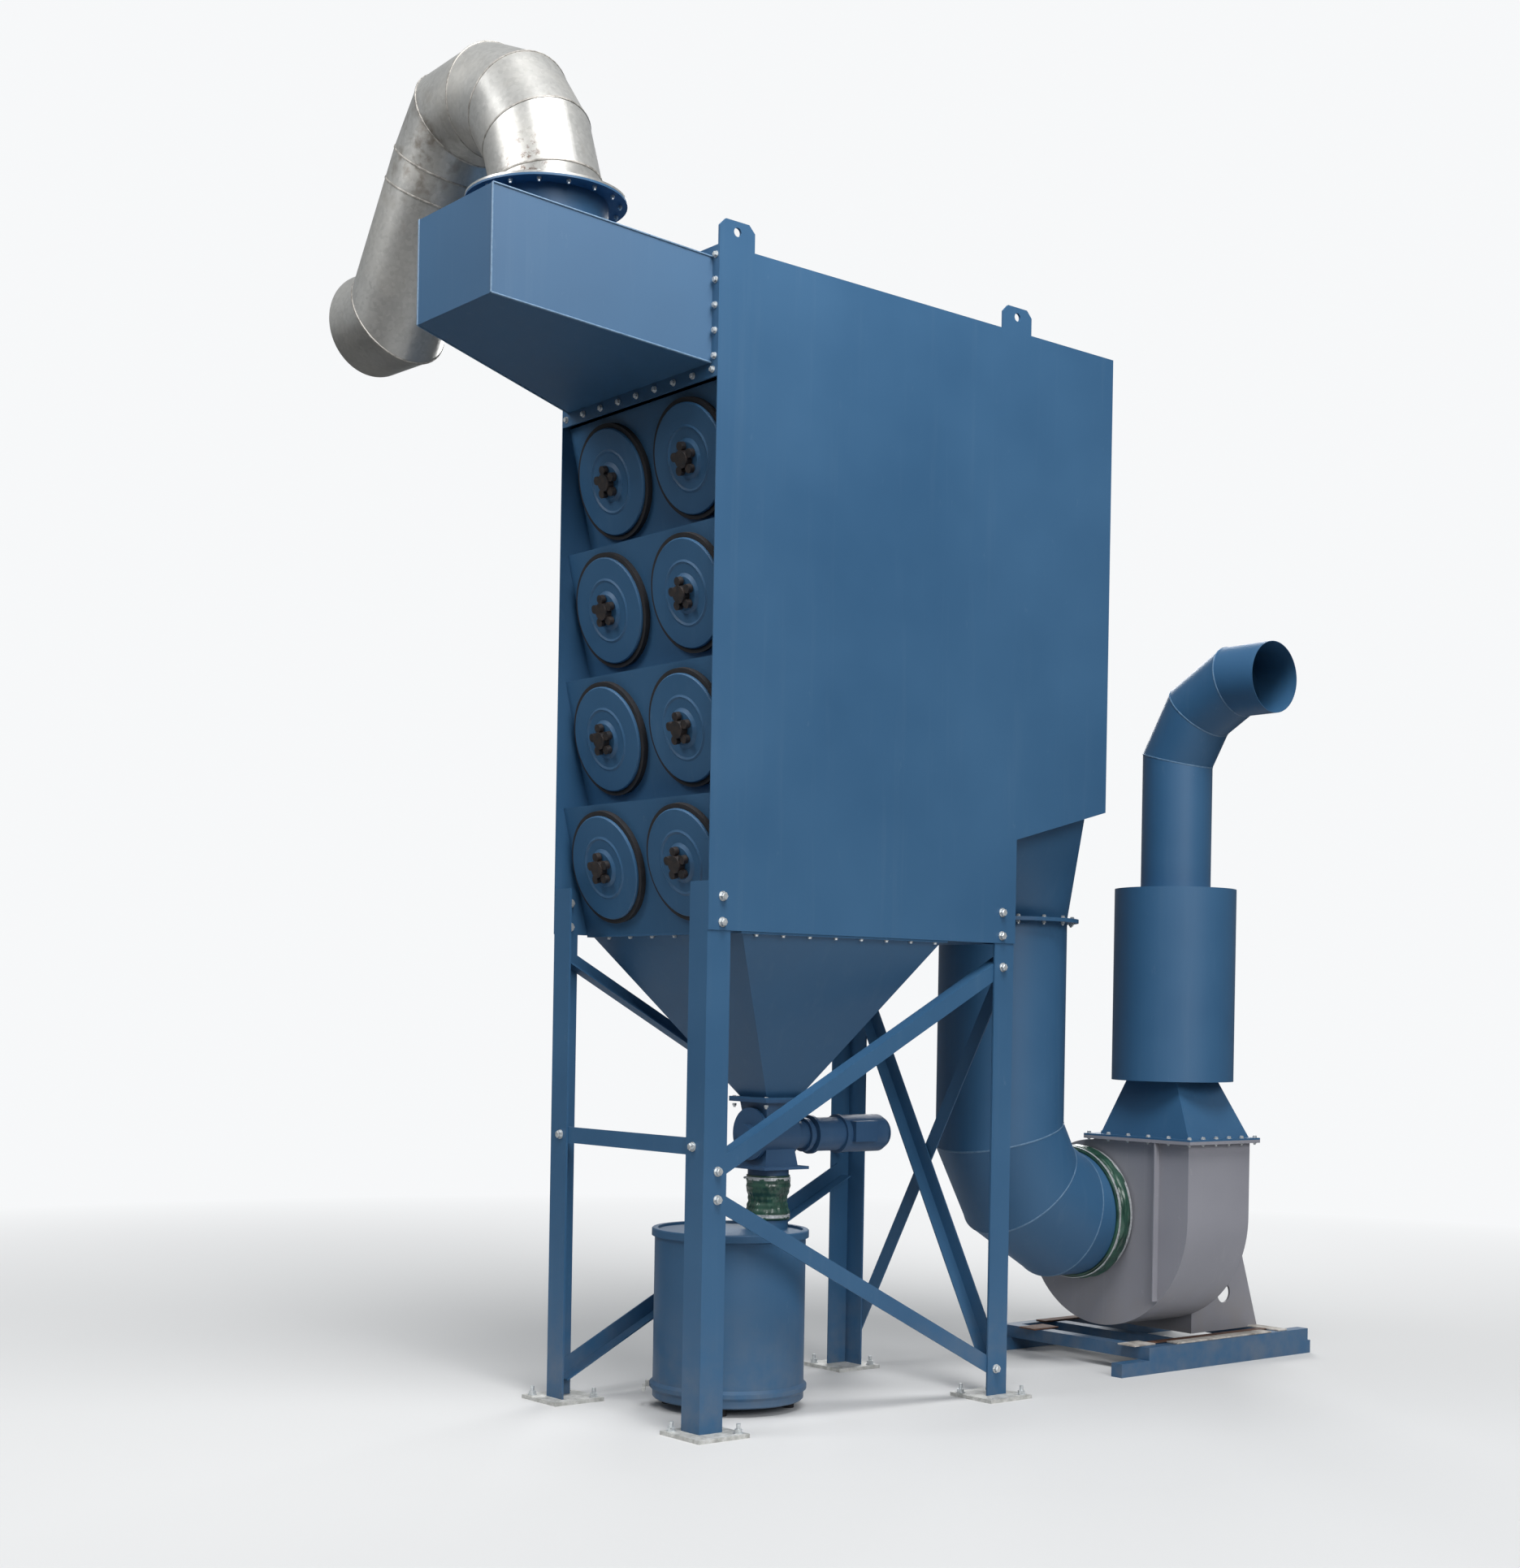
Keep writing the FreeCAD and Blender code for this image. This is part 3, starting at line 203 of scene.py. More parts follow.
# %% [markdown]
# ## Helpers for finishes
# All patterns are procedural and read Object coordinates, so they stay put on the
# steel. A few small helpers keep each finish to the size of a recipe.


# %% Node helpers
class Recipe:
    """One finish under construction: its material, node tree and main shader."""

    def __init__(self, name, metallic=0.0, roughness=0.5):
        self.material = bpy.data.materials.new(name)
        self.material.use_nodes = True
        self.tree = self.material.node_tree
        self.shader = self.tree.nodes["Principled BSDF"]
        self.shader.inputs["Metallic"].default_value = metallic
        self.shader.inputs["Roughness"].default_value = roughness
        self.place = self.add("ShaderNodeTexCoord").outputs["Object"]

    def add(self, kind, **settings):
        """A node with its settings."""
        node = self.tree.nodes.new(kind)
        for key, value in settings.items():
            setattr(node, key, value)
        return node

    def join(self, socket, target):
        """A link from one socket to another."""
        self.tree.links.new(socket, target)

    def grid(self, scale=(1, 1, 1), move=(0, 0, 0)):
        """Object coordinates, stretched by a factor on each axis."""
        node = self.add("ShaderNodeMapping")
        node.inputs["Scale"].default_value = scale
        node.inputs["Location"].default_value = move
        self.join(self.place, node.inputs["Vector"])
        return node.outputs["Vector"]

    def noise(self, scale, detail=4.0, rough=0.55, grid=None):
        """Soft random noise, from 0 to 1."""
        node = self.add("ShaderNodeTexNoise")
        node.inputs["Scale"].default_value = scale
        node.inputs["Detail"].default_value = detail
        node.inputs["Roughness"].default_value = rough
        self.join(grid or self.place, node.inputs["Vector"])
        return node.outputs["Fac"]

    def remap(self, fac, low, high, to_low=0.0, to_high=1.0):
        """Stretch part of a range to another range, clamped."""
        node = self.add("ShaderNodeMapRange")
        for name, value in (("From Min", low), ("From Max", high), ("To Min", to_low), ("To Max", to_high)):
            node.inputs[name].default_value = value
        self.join(fac, node.inputs["Value"])
        return node.outputs["Result"]

    def mix(self, fac, first, second):
        """Blend two colours; each is a colour or a socket."""
        node = self.add("ShaderNodeMix", data_type="RGBA")
        self.join(fac, node.inputs["Factor"])
        for key, colour in (("A", first), ("B", second)):
            socket = [s for s in node.inputs if s.name == key and s.type == "RGBA"][0]
            if isinstance(colour, tuple):
                socket.default_value = (*colour, 1)
            else:
                self.join(colour, socket)
        return [s for s in node.outputs if s.type == "RGBA"][0]

    def times(self, first, second):
        """The product of two values."""
        node = self.add("ShaderNodeMath", operation="MULTIPLY")
        self.join(first, node.inputs[0])
        self.join(second, node.inputs[1])
        return node.outputs[0]

    def near(self, centre, reach):
        """1 at a point, falling to 0 at a distance."""
        node = self.add("ShaderNodeVectorMath", operation="DISTANCE")
        self.join(self.place, node.inputs[0])
        node.inputs[1].default_value = centre
        return self.remap(node.outputs["Value"], reach, 0.0)

    def colour(self, socket):
        """The finish's base colour."""
        self.join(socket, self.shader.inputs["Base Color"])

    def rough(self, fac, low, high):
        """Roughness that varies with a pattern."""
        self.join(self.remap(fac, 0.3, 0.7, low, high), self.shader.inputs["Roughness"])

    def bump(self, height, strength, distance):
        """Small relief from a pattern."""
        node = self.add("ShaderNodeBump")
        node.inputs["Strength"].default_value = strength
        node.inputs["Distance"].default_value = distance
        self.join(height, node.inputs["Height"])
        self.join(node.outputs["Normal"], self.shader.inputs["Normal"])


# %% [markdown]
# ## The paint
# The steel is sprayed in a mid blue. Up close it has orange peel; from afar the
# coat is uneven, with faint runs down the tall sheets, chalky rub marks and a
# little road dust near the floor. Blue and grey share one recipe.


# %% Sprayed paint
def sprayed(name, deep, plain, chalk, dust=0.25, roughness=(0.42, 0.6)):
    """Paint with cloudy tone, runs, rub marks and dust low down."""
    paint = Recipe(name)
    cloud = paint.noise(1.3, 3.0)
    base = paint.mix(paint.remap(cloud, 0.32, 0.68), deep, plain)
    runs = paint.noise(3.0, 4.0, 0.6, paint.grid((7, 7, 0.35)))
    base = paint.mix(paint.remap(runs, 0.56, 0.86, 0.0, 0.20), base, chalk)
    rubs = paint.noise(26.0, 6.0, 0.7, paint.grid((1, 1, 0.4)))
    base = paint.mix(paint.remap(rubs, 0.64, 0.74, 0.0, 0.35), base, chalk)
    height = paint.add("ShaderNodeSeparateXYZ")
    paint.join(paint.place, height.inputs[0])
    low = paint.remap(height.outputs["Z"], 0.45, 0.0, 0.0, dust)
    grime = paint.times(low, paint.remap(paint.noise(9.0, 5.0), 0.35, 0.65))
    base = paint.mix(grime, base, (0.23, 0.20, 0.16))
    paint.colour(base)
    paint.rough(cloud, *roughness)
    paint.bump(paint.noise(420.0, 2.0), 0.12, 0.0006)
    return paint.material


BLUE = sprayed("blue_paint", (0.022, 0.082, 0.172), (0.028, 0.098, 0.198), (0.085, 0.155, 0.24))
DRIVE_BLUE = sprayed("airlock_paint", (0.024, 0.070, 0.150), (0.032, 0.086, 0.176), (0.08, 0.14, 0.22))
FAN_GREY = sprayed("fan_grey", (0.205, 0.205, 0.235), (0.245, 0.245, 0.275), (0.36, 0.36, 0.38),
                   0.4, (0.5, 0.7))
MOTOR_GREY = sprayed("motor_grey", (0.15, 0.15, 0.16), (0.18, 0.18, 0.19), (0.30, 0.30, 0.30))


# %% [markdown]
# ## Bare metal
# The swan-neck duct is galvanised sheet: pale, softly shiny, with a faint spangle
# of zinc crystals, handling streaks and a brown stain just above its flange.
# The base plates and bolts are duller zinc.


# %% Galvanised sheet
def galvanised():
    """Zinc-coated sheet with spangle, streaks and a local stain."""
    zinc = Recipe("galvanised", 0.65, 0.4)
    grain = zinc.add("ShaderNodeTexVoronoi")
    grain.inputs["Scale"].default_value = 70
    zinc.join(zinc.place, grain.inputs["Vector"])
    spangle = zinc.add("ShaderNodeRGBToBW")
    zinc.join(grain.outputs["Color"], spangle.inputs["Color"])
    base = zinc.mix(spangle.outputs["Val"], (0.40, 0.395, 0.38), (0.50, 0.495, 0.475))
    cloud = zinc.noise(4.0, 4.0)
    base = zinc.mix(zinc.remap(cloud, 0.45, 0.75, 0.0, 0.45), base, (0.42, 0.40, 0.36))
    streak = zinc.noise(8.0, 5.0, 0.65, zinc.grid((3, 3, 0.5)))
    base = zinc.mix(zinc.remap(streak, 0.6, 0.8, 0.0, 0.45), base, (0.33, 0.30, 0.26))
    spots = zinc.remap(zinc.noise(38.0, 6.0, 0.7), 0.5, 0.62)
    stain = zinc.times(zinc.near((0.12, -1.40, 4.615), 0.17), spots)
    base = zinc.mix(stain, base, (0.10, 0.045, 0.025))
    blots = zinc.remap(zinc.noise(16.0, 6.0), 0.48, 0.66)
    smear = zinc.times(zinc.near((-0.62, -1.40, 4.86), 0.28), blots)
    base = zinc.mix(smear, base, (0.16, 0.13, 0.10))
    zinc.colour(base)
    zinc.rough(cloud, 0.28, 0.46)
    zinc.bump(zinc.noise(14.0, 3.0), 0.25, 0.004)
    return zinc.material


def bare(name, dark, light, metallic, roughness, scale=30.0):
    """Plain metal with a mottled film."""
    metal = Recipe(name, metallic, roughness)
    film = metal.noise(scale, 6.0, 0.65)
    metal.colour(metal.mix(metal.remap(film, 0.35, 0.65), dark, light))
    metal.rough(film, roughness - 0.1, roughness + 0.12)
    metal.bump(film, 0.2, 0.0006)
    return metal.material


ZINC = galvanised()
PLATE = bare("bare_plate", (0.34, 0.34, 0.32), (0.62, 0.62, 0.60), 0.25, 0.55)
BOLT = bare("bolt_zinc", (0.45, 0.47, 0.48), (0.72, 0.75, 0.76), 0.6, 0.35, 90.0)
SEAM = bare("seam_dark", (0.17, 0.16, 0.145), (0.42, 0.40, 0.37), 0.4, 0.5, 40.0)
BEAD = bare("weld_bead", (0.06, 0.13, 0.22), (0.12, 0.21, 0.32), 0.0, 0.45, 60.0)
RUSTY = bare("rusty_steel", (0.06, 0.030, 0.022), (0.17, 0.085, 0.055), 0.1, 0.7, 25.0)
DUSTY = bare("dusty_plate", (0.20, 0.18, 0.16), (0.55, 0.52, 0.48), 0.0, 0.75, 14.0)

# %% [markdown]
# ## Rubber, plastic and cloth
# The seals are black sponge. The knobs are dark moulded plastic with a brown
# film. The sleeves are coated cloth, dark green, glossy where it is stretched.


# %% Soft and moulded finishes
def soft(name, dark, light, roughness, scale, relief, coat=0.0):
    """A non-metal with a fine surface grain and cloudy tone."""
    skin = Recipe(name, 0.0, roughness)
    cloud = skin.noise(scale, 5.0, 0.6)
    skin.colour(skin.mix(skin.remap(cloud, 0.36, 0.66), dark, light))
    skin.rough(cloud, roughness - 0.08, roughness + 0.1)
    skin.bump(skin.noise(scale * 22, 3.0), relief, 0.0006)
    skin.shader.inputs["Coat Weight"].default_value = coat
    skin.shader.inputs["Coat Roughness"].default_value = 0.2
    return skin.material


RUBBER = soft("gasket_rubber", (0.008, 0.009, 0.012), (0.018, 0.016, 0.018), 0.8, 18.0, 0.4)
KNOB = soft("knob_plastic", (0.012, 0.012, 0.014), (0.034, 0.024, 0.020), 0.5, 45.0, 0.25)
CLOTH = soft("sleeve_fabric", (0.006, 0.030, 0.020), (0.022, 0.085, 0.055), 0.38, 11.0, 0.5, 0.5)

# %% Dress the CAD pieces
FINISHES = {"blue_paint": BLUE, "galvanised": ZINC, "bare_plate": PLATE, "gasket_rubber": RUBBER,
            "knob_plastic": KNOB, "airlock_paint": DRIVE_BLUE, "gearmotor_paint": DRIVE_BLUE,
            "sleeve_fabric": CLOTH, "fan_grey": FAN_GREY, "motor_grey": MOTOR_GREY}
for part in frame["record"]["subparts"]:
    for holder in frame["nodes"][part["node"]].material_slots:
        holder.material = FINISHES[part["material_slot"]]
print(len(frame["nodes"]), "CAD pieces dressed")

# %% [markdown]
# ## Bolts
# Hundreds of like bolts hold the sheets, so each is only a few dozen faces: a
# washer, a six-sided head with a chamfer, and on open flanges a nut behind. They
# are collected into one object for each joint.


# %% One bolt, and a joint full of them
def add_bolt(bm, place, axis, width=0.024, behind=0.0):
    """A hex bolt head on a washer; with `behind`, a nut on the far side too."""
    seat = hug(place, axis)
    add_rod(bm, seat, width * 0.62, 0, width * 0.11, 14)
    add_rod(bm, seat, width * 0.5, width * 0.1, width * 0.5, 6)
    add_rod(bm, seat, width * 0.44, width * 0.5, width * 0.58, 6, 0.8)
    if behind:
        add_rod(bm, seat, width * 0.5, -behind - width * 0.5, -behind, 6)
        add_rod(bm, seat, width * 0.28, -behind - width * 0.85, -behind - width * 0.5, 8)


def bolted(name, seats, width=0.024, behind=0.0, finish=BOLT):
    """One object that holds every bolt of a joint."""
    bm = bmesh.new()
    for place, axis in seats:
        add_bolt(bm, place, axis, width, behind)
    return finish_piece(name, bm, finish)


def spread(first, last, count):
    """Evenly spaced numbers, ends included."""
    return [first + (last - first) * k / (count - 1) for k in range(count)]


def ring_of(centre, radius, count, axis, start=0.0):
    """Seats round a horizontal circle."""
    return [((centre[0] + radius * cos(start + 2 * pi * k / count),
              centre[1] + radius * sin(start + 2 * pi * k / count), centre[2]), axis)
            for k in range(count)]


# %% Frame, cabinet and floor bolts
frame_seats = []
for side in (1, -1):
    face = (side, 0, 0)
    for y in (-0.735, 0.722):
        frame_seats += [((side * 0.5, y, z), face) for z in (1.985, 1.89)]
    near, far = -0.734 * side, 0.734 * side
    frame_seats += [((side * 0.496, near, z), face) for z in (0.975, 0.871)]
    frame_seats += [((side * 0.496, far, z), face) for z in (1.762, 0.122)]
    frame_seats += [((side * 0.43, 0.796, z), (0, 1, 0)) for z in (0.168, 1.740)]
    frame_seats.append(((side * 0.43, -0.8, 1.064), (0, -1, 0)))
bolted("frame_bolts", frame_seats, 0.030)

inner_seats = [((side * 0.488, y, z), (-side, 0, 0)) for side in (1, -1)
               for y in (-0.735, 0.722) for z in (1.985, 1.89)]
inner_seats += [((side * 0.43, -0.792, 1.064), (0, 1, 0)) for side in (1, -1)]
bolted("frame_nuts", inner_seats, 0.034)

anchor_bm = bmesh.new()
for x in (-0.46, 0.46):
    for y in (-0.745, 0.745):
        for dx, dy in ((-0.088, -0.088), (0.088, 0.088)):
            seat = hug((x + dx, y + dy, 0.015), (0, 0, 1))
            add_rod(anchor_bm, seat, 0.019, 0, 0.003, 16)
            add_rod(anchor_bm, seat, 0.015, 0.003, 0.016, 6)
            add_rod(anchor_bm, seat, 0.008, 0.0, 0.036, 10)
finish_piece("floor_anchors", anchor_bm, BOLT)

# %% [markdown]
# The sheets of the cabinet are closed with smaller bolts: down the inlet frame,
# round the neck flange, under the hopper's flange, and at the back, where the
# access sheet's clamp screws stand out past the edge.

# %% Sheet joints
frame_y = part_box("inlet_frame")[0].y
frame_edge = [((side * 0.479, frame_y, z), (0, -1, 0)) for side in (1, -1)
              for z in spread(3.955, 4.325, 5)]
frame_edge += [((x, frame_y, 3.907), (0, -1, 0)) for x in spread(-0.47, 0.47, 9)]
frame_edge += [((x, frame_y, 4.343), (0, -1, 0)) for x in spread(-0.36, 0.36, 7)]
bolted("inlet_frame_bolts", frame_edge, 0.021)

neck_y = sum(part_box("inlet_neck")[k].y for k in (0, 1)) / 2
bolted("neck_flange_bolts", ring_of((0, neck_y, 4.548), 0.273, 16, (0, 0, 1), 0.1), 0.018, 0.016)

HOPPER_FLANGE_Z = 1.852
hopper_seats = [((side * 0.484, y, HOPPER_FLANGE_Z), (0, 0, -1)) for side in (1, -1)
                for y in spread(-0.56, 0.36, 8)]
hopper_seats += [((x, y, HOPPER_FLANGE_Z), (0, 0, -1)) for y in (-0.628, 0.408)
                 for x in spread(-0.36, 0.36, 6)]
bolted("hopper_bolts", hopper_seats, 0.016)

rear_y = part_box("rear_panel")[1].y
rear_seats = [((side * 0.47, rear_y, z), (0, 1, 0)) for side in (1, -1)
              for z in (4.25, 4.15, 3.84, 3.68, 3.49, 3.20, 2.95, 2.72, 2.52)]
bolted("rear_panel_screws", rear_seats, 0.020)

clean_y = 1.24
bolted("funnel_flange_bolts", ring_of((0, clean_y, 1.990), 0.305, 16, (0, 0, 1), 0.2), 0.018, 0.016)
bolted("airlock_bolts", [((sx * 0.1, -0.08 + sy * 0.1, 1.2155), (0, 0, 1)) for sx in (1, -1)
                         for sy in (1, -1)], 0.018, 0.022)

# %% Fan discharge flange bolts
low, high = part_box("fan_transition")
rim = 0.017
rim_z = 1.038
edge_seats = [((x, y, rim_z), (0, 0, 1)) for y in (low.y + rim, high.y - rim)
              for x in spread(low.x + rim, high.x - rim, 6)]
edge_seats += [((x, y, rim_z), (0, 0, 1)) for x in (low.x + rim, high.x - rim)
               for y in spread(low.y + 0.11, high.y - 0.11, 4)]
bolted("discharge_bolts", edge_seats, 0.018, 0.016)

# %% [markdown]
# ## Seams and welds
# The swan neck is built from gores: short mitred lengths of tube that meet on
# slanted planes, each joint with a pressed seam. A ring scaled along the slant
# lies exactly on such a joint. The painted ducts have thin weld beads instead.


# %% Rings on mitred joints
def add_seam(bm, centre, before, after, radius, thick, width, across):
    """A thin band on the joint between two runs of a round duct."""
    middle = (before.normalized() + after.normalized()).normalized()
    half = before.angle(after) / 2
    side = middle.cross(across).normalized()
    turn = Matrix((side, across, middle)).transposed().to_4x4()
    grow = Matrix.Diagonal((1 / cos(half), 1, 1, 1))
    profile = [(radius - 0.001, -width), (radius + thick * 0.7, -width * 0.7), (radius + thick, 0),
               (radius + thick * 0.7, width * 0.7), (radius - 0.001, width)]
    add_lathe(bm, Matrix.Translation(centre) @ turn @ grow, profile, 56)


def seam_route(name, points, radius, across, finish, thick=0.004, width=0.007):
    """Seams at every inner corner of a duct's middle line."""
    bm = bmesh.new()
    for prev, here, after in zip(points, points[1:], points[2:]):
        add_seam(bm, here, here - prev, after - here, radius, thick, width, across)
    return finish_piece(name, bm, finish)


def along(points, base, plane):
    """A route of (out, up) pairs laid in the XZ or YZ plane from a base point."""
    spread_out = Vector((1, 0, 0)) if plane == "XZ" else Vector((0, 1, 0))
    return [Vector(base) + spread_out * out + Vector((0, 0, up)) for out, up in points]


def downwards(tilt, length):
    """A step of some length, tilted from straight down towards -X."""
    return Vector((-sin(radians(tilt)), 0, -cos(radians(tilt)))) * length


SWAN_R, CLEAN_R, STACK_R = 0.206, 0.28, 0.155
SWAN = [(0, 0), (0, 0.045), (-0.07, 0.24), (-0.195, 0.4), (-0.38, 0.485), (-0.6, 0.478),
        (-0.728, 0.332), (-0.7929, 0.2358)]
swan_route = along(SWAN, (0, neck_y, 4.548), "XZ")
drop_low = swan_route[-1] + downwards(34, 0.5)
drop_end = drop_low + downwards(92, 0.2)
seam_route("swan_seams", swan_route + [drop_low, drop_end], SWAN_R, Vector((0, 1, 0)), SEAM,
           0.003, 0.005)

# Each quarter bend has two gores, so its middle line turns 30 degrees at three joints.
fan_level, bend_r = 0.68, 0.5
funnel_foot = 1.974
gore = 2 * bend_r * tan(radians(15))
first_joint = fan_level + bend_r - funnel_foot - gore / 2
clean = [(0, 0), (0, first_joint), (gore * sin(radians(30)), first_joint - gore * cos(radians(30)))]
clean.append((clean[2][0] + gore * sin(radians(60)), clean[2][1] - gore * cos(radians(60))))
clean.append((0.45, clean[3][1]))
seam_route("clean_duct_welds", along(clean, (0, clean_y, funnel_foot), "YZ"), CLEAN_R,
           Vector((1, 0, 0)), BEAD, 0.002, 0.004)

stack_foot, stack_top, elbow_r = 2.086, 3.05, 0.44
half_gore = elbow_r * tan(radians(15))
joint = stack_top - elbow_r - stack_foot + half_gore
gore = 2 * half_gore
stack = [(0, 0), (0, joint), (gore * sin(radians(30)), joint + gore * cos(radians(30)))]
stack.append((stack[2][0] + gore * sin(radians(60)), stack[2][1] + gore * cos(radians(60))))
stack.append((0.52, stack[3][1]))
seam_route("stack_welds", along(stack, (0.325, 2.01, stack_foot), "XZ"), STACK_R, Vector((0, 1, 0)),
           BEAD, 0.002, 0.004)

# %% [markdown]
# ## Weld beads on the inlet box
# The tapered box is folded and seam welded. Each bead is a slim rod along an
# edge, which catches light as the real one does.


# %% Inlet box beads
def add_bead(bm, first, last, radius=0.004):
    """A slim rounded rod between two points."""
    first, last = Vector(first), Vector(last)
    add_rod(bm, hug(first, last - first), radius, 0, (last - first).length, 8)


def corners_of(node, pick):
    """The mesh corners of a CAD node that pass a test, in order of height."""
    points = {tuple(round(c, 4) for c in v.co) for v in frame["nodes"][node].data.vertices}
    return sorted((p for p in points if pick(p)), key=lambda p: p[2])


box_low, box_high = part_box("inlet_box")
front = corners_of("inlet_box", lambda p: p[1] < box_low.y + 0.002)
root = corners_of("inlet_box", lambda p: p[1] > box_high.y - 0.002)
print("inlet box front corners", front)
bead_bm = bmesh.new()
for side in (1, -1):
    tips = [max((p for p in group if p[0] * side > 0), key=lambda p, s=s: (abs(p[0]) + s * p[2]))
            for group in (front, root) for s in (1, -1)]
    add_bead(bead_bm, tips[0], tips[1])
    add_bead(bead_bm, tips[0], tips[2])
    add_bead(bead_bm, tips[1], tips[3])
finish_piece("inlet_box_beads", bead_bm, BEAD)

# %% [markdown]
# ## Cloth sleeves
# Two short sleeves take up movement: one from the valve to the drum, necked in
# and creased, one round the fan's inlet. Each is spun from a profile and then
# wrinkled with smooth noise, because the cloth is too stiff and too tight for a
# cloth simulation to add more than that. Steel bands hold their ends.


# %% Sleeves and their bands
def wrinkled(verts, centre, axis_index, amount, pitch, low, high, seed):
    """Push points in and out round an axis, more in the middle of the sleeve."""
    for vert in verts:
        along_axis = vert.co[axis_index]
        part = max(0.0, min(1.0, (along_axis - low) / (high - low)))
        ease = sin(pi * part) ** 0.6
        arm = vert.co - Vector(centre)
        arm[axis_index] = 0
        sample = arm.normalized() * 3.2 + Vector((seed, seed, seed))
        sample[axis_index] += along_axis * pitch
        push = noise.noise(sample) * 0.7 + noise.noise(sample * 2.7) * 0.45
        vert.co += arm.normalized() * push * amount * ease


def thickened(piece, thick):
    """Give a sleeve's skin a wall, inwards."""
    wall = piece.modifiers.new("wall", "SOLIDIFY")
    wall.thickness = thick
    wall.offset = -1
    return piece


sleeve_low, sleeve_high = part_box("dust_sleeve")
centre = (sleeve_low + sleeve_high) / 2
tall = sleeve_high.z - sleeve_low.z
sleeve_bm = bmesh.new()
profile = []
for k in range(41):
    part = k / 40
    neck = 0.0865 - 0.013 * sin(pi * min(1, max(0, (part - 0.08) / 0.7))) ** 2
    profile.append((neck + 0.0012 * sin(part * 44), part * tall))
shaped = add_lathe(sleeve_bm, Matrix.Translation((centre.x, centre.y, sleeve_low.z)), profile, 96)
wrinkled(shaped, centre, 2, 0.011, 14, sleeve_low.z, sleeve_high.z, 4.0)
dust_cloth = thickened(finish_piece("dust_sleeve_cloth", sleeve_bm, CLOTH), 0.002)
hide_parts("dust_sleeve")

hoop_low, hoop_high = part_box("fan_connector")
hoop = (hoop_low + hoop_high) / 2
deep = hoop_high.y - hoop_low.y
cloth_bm = bmesh.new()
swell = [(0.2815 + 0.0215 * sin(pi * k / 24) ** 0.5 + 0.001 * sin(k * 1.9), deep * k / 24)
         for k in range(25)]
shaped = add_lathe(cloth_bm, hug((0, hoop_low.y, hoop.z), (0, 1, 0)), swell, 144)
wrinkled(shaped, hoop, 1, 0.009, 30, hoop_low.y, hoop_high.y, 9.0)
fan_cloth = thickened(finish_piece("fan_connector_cloth", cloth_bm, CLOTH), 0.002)
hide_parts("fan_connector")

# %% Bands
BAND = [(0.0, -0.007), (0.0022, -0.006), (0.0022, 0.006), (0.0, 0.007)]


def add_band(bm, place, axis, radius):
    """A flat hose band with its screw housing."""
    add_lathe(bm, hug(place, axis), [(radius + r, h) for r, h in BAND], 96)
    round_to = hug(place, axis) @ Matrix.Rotation(radians(-140), 4, "Z")
    seat = round_to @ Matrix.Translation((radius + 0.006, 0, 0))
    turn = seat @ Matrix.Rotation(radians(90), 4, "X")
    add_rod(bm, turn, 0.005, -0.014, 0.014, 10)


band_bm = bmesh.new()
add_band(band_bm, (centre.x, centre.y, sleeve_high.z - 0.014), (0, 0, 1), 0.0878)
add_band(band_bm, (centre.x, centre.y, sleeve_low.z + 0.014), (0, 0, 1), 0.0878)
add_band(band_bm, (0, hoop_low.y + 0.014, hoop.z), (0, 1, 0), 0.2955)
add_band(band_bm, (0, hoop_high.y - 0.016, hoop.z), (0, 1, 0), 0.2955)
finish_piece("sleeve_bands", band_bm, BOLT)

# %% [markdown]
# ## The valve's drive
# On top of the gear unit sits a round cap with a rusty film.

# %% Drive details
drive_bm = bmesh.new()
add_lathe(drive_bm, Matrix.Translation((-0.03, 0.068, 1.152)),
          [(0.0, 0.016), (0.022, 0.016), (0.031, 0.012), (0.034, 0.0), (0.0, 0.0)], 40)
finish_piece("gear_cap", drive_bm, RUSTY, merge=0.0001)
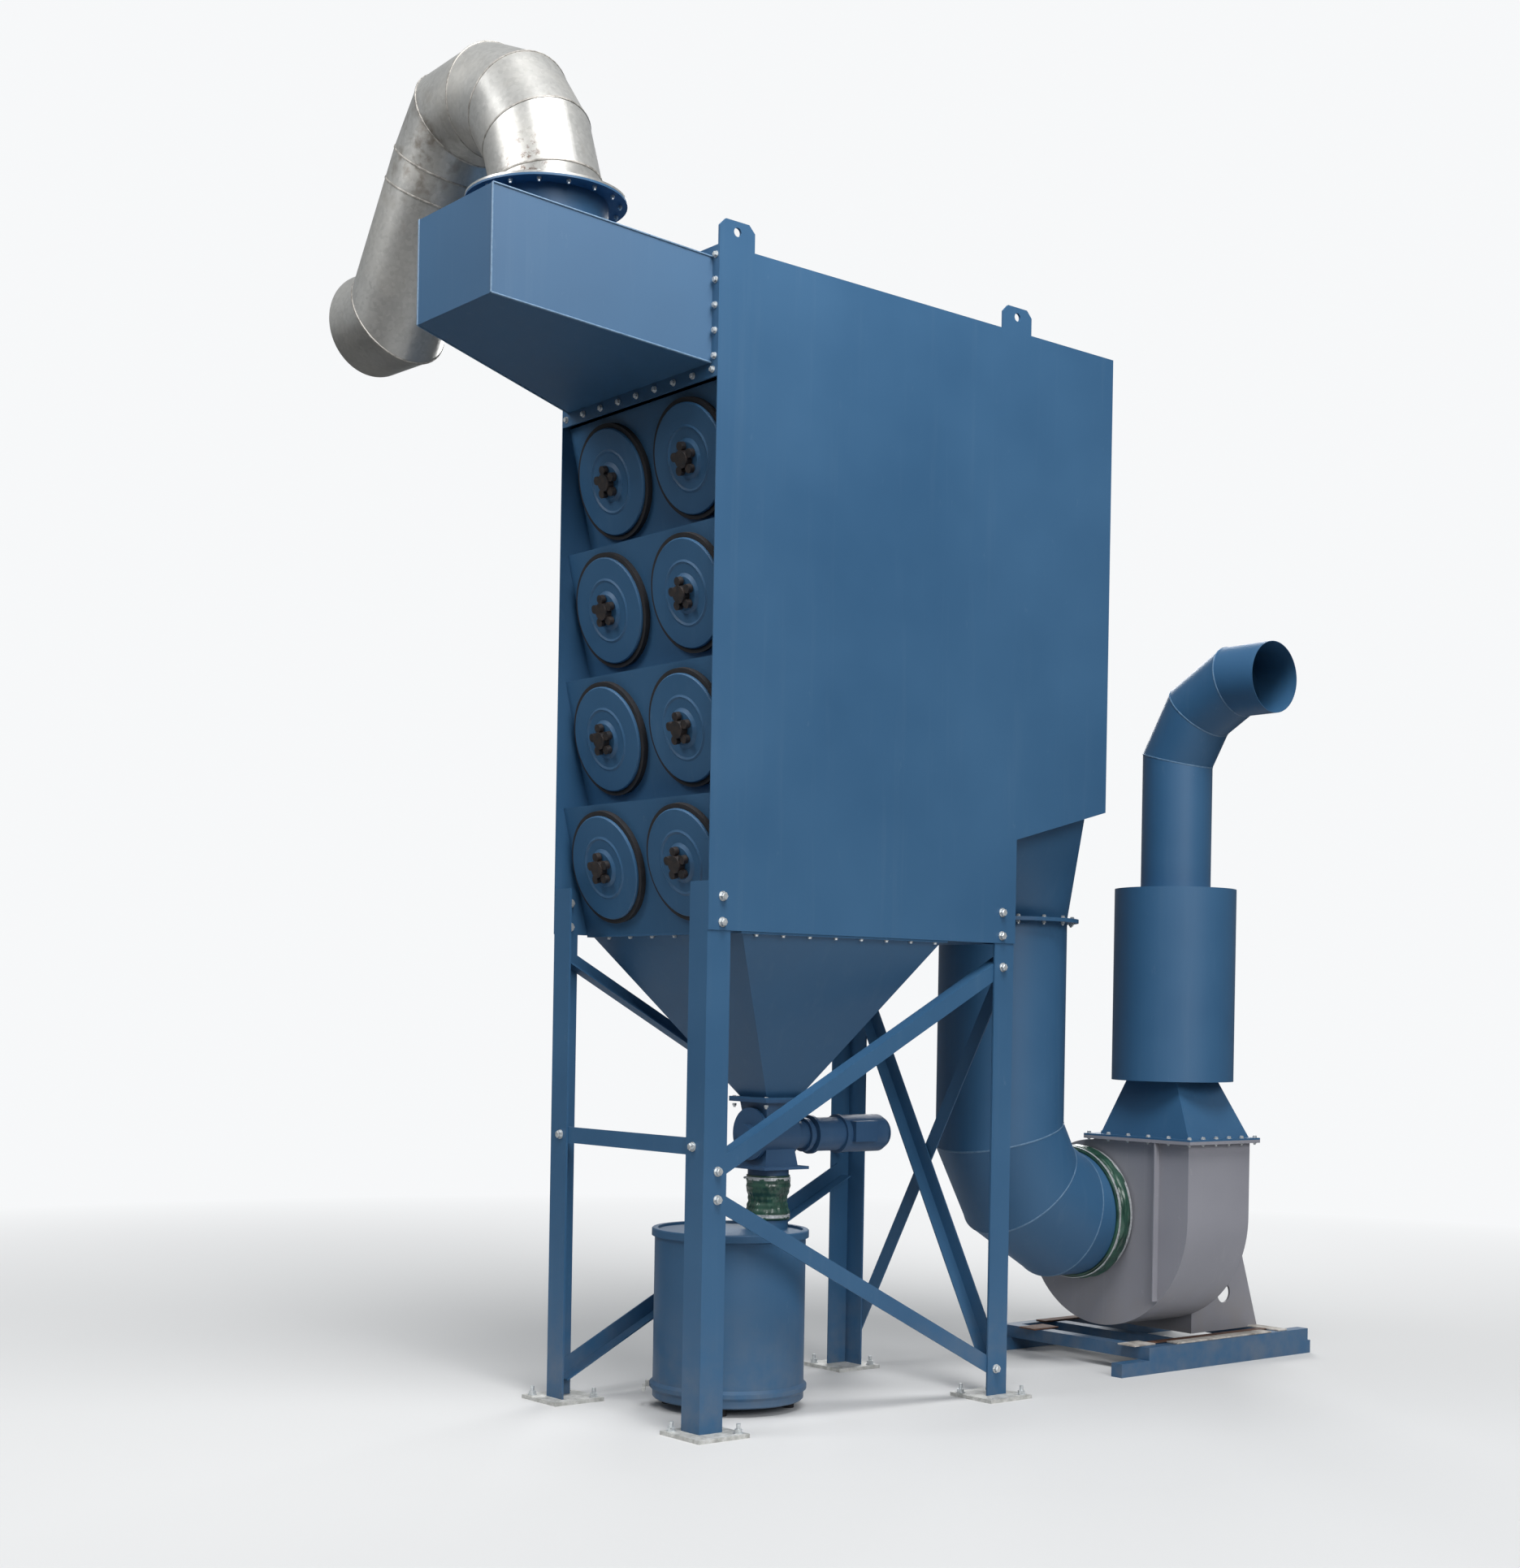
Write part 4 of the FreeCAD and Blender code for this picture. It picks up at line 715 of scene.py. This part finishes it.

# %% [markdown]
# ## The fan's motor
# It is seen only from behind. Cooling fins run along its case.

# %% Motor fins
fin_bm = bmesh.new()
for k in range(28):
    angle = 2 * pi * k / 28
    if 0.28 * pi < angle % (2 * pi) < 0.72 * pi or 1.25 * pi < angle < 1.75 * pi:
        continue
    turn = Matrix.Translation((0, 0, 0.68)) @ Matrix.Rotation(-angle, 4, "Y")
    grow = Matrix.Diagonal((0.014, 0.22, 0.005, 1))
    bmesh.ops.create_cube(fin_bm, size=1, matrix=turn @ Matrix.Translation((0.136, 2.40, 0)) @ grow)
bmesh.ops.bevel(fin_bm, geom=fin_bm.edges[:], offset=0.001, offset_type="OFFSET", segments=1, profile=0.5,
                affect="EDGES", material=-1)
finish_piece("motor_fins", fin_bm, MOTOR_GREY)

# %% [markdown]
# ## Skid plates
# Scraps of plate and angle lie on the skid's rails under the fan and its motor,
# some bare and dusty, some brown with rust.

# %% Skid dressing
RAIL_TOP = 0.1162
skid_bm = bmesh.new()
add_bar(skid_bm, (0.385, 1.93, RAIL_TOP), (0.447, 2.60, 0.124))
add_bar(skid_bm, (0.30, 1.70, RAIL_TOP), (0.40, 1.84, 0.123))
add_bar(skid_bm, (-0.44, 2.66, RAIL_TOP), (0.44, 2.725, 0.124))
finish_piece("skid_plates", skid_bm, DUSTY)

rust_bm = bmesh.new()
add_bar(rust_bm, (0.33, 1.80, RAIL_TOP), (0.372, 2.70, 0.122))
add_bar(rust_bm, (-0.30, 1.70, RAIL_TOP), (-0.20, 1.86, 0.124))
add_bar(rust_bm, (-0.42, 1.94, RAIL_TOP), (-0.36, 2.62, 0.124))
finish_piece("skid_rusty_bars", rust_bm, RUSTY)

# %% [markdown]
# ## Floor
# It is the stage, not part of the machine. With distance it turns into the
# backdrop's own colour, so there is no hard horizon.

# %% Floor
floor_bm = bmesh.new()
bmesh.ops.create_grid(floor_bm, x_segments=1, y_segments=1, size=60)
floor_mesh = bpy.data.meshes.new("floor")
floor_bm.to_mesh(floor_mesh)
floor_bm.free()
floor_finish = Recipe("pale_floor", 0.0, 0.9)
haze = floor_finish.remap(floor_finish.near((0, 0.6, 0), 9.5), 0.0, 0.78, 1.0, 0.0)
floor_finish.colour(floor_finish.mix(haze, (0.6, 0.6, 0.6), (0, 0, 0)))
direct = floor_finish.add("ShaderNodeLightPath").outputs["Is Camera Ray"]
floor_finish.join(floor_finish.times(haze, direct), floor_finish.shader.inputs["Emission Strength"])
floor_finish.shader.inputs["Emission Color"].default_value = BACKDROP
floor_finish.shader.inputs["Specular IOR Level"].default_value = 0
floor_mesh.materials.append(floor_finish.material)
floor = link("floor", floor_mesh)

# %% Update the scene
bpy.context.view_layer.update()
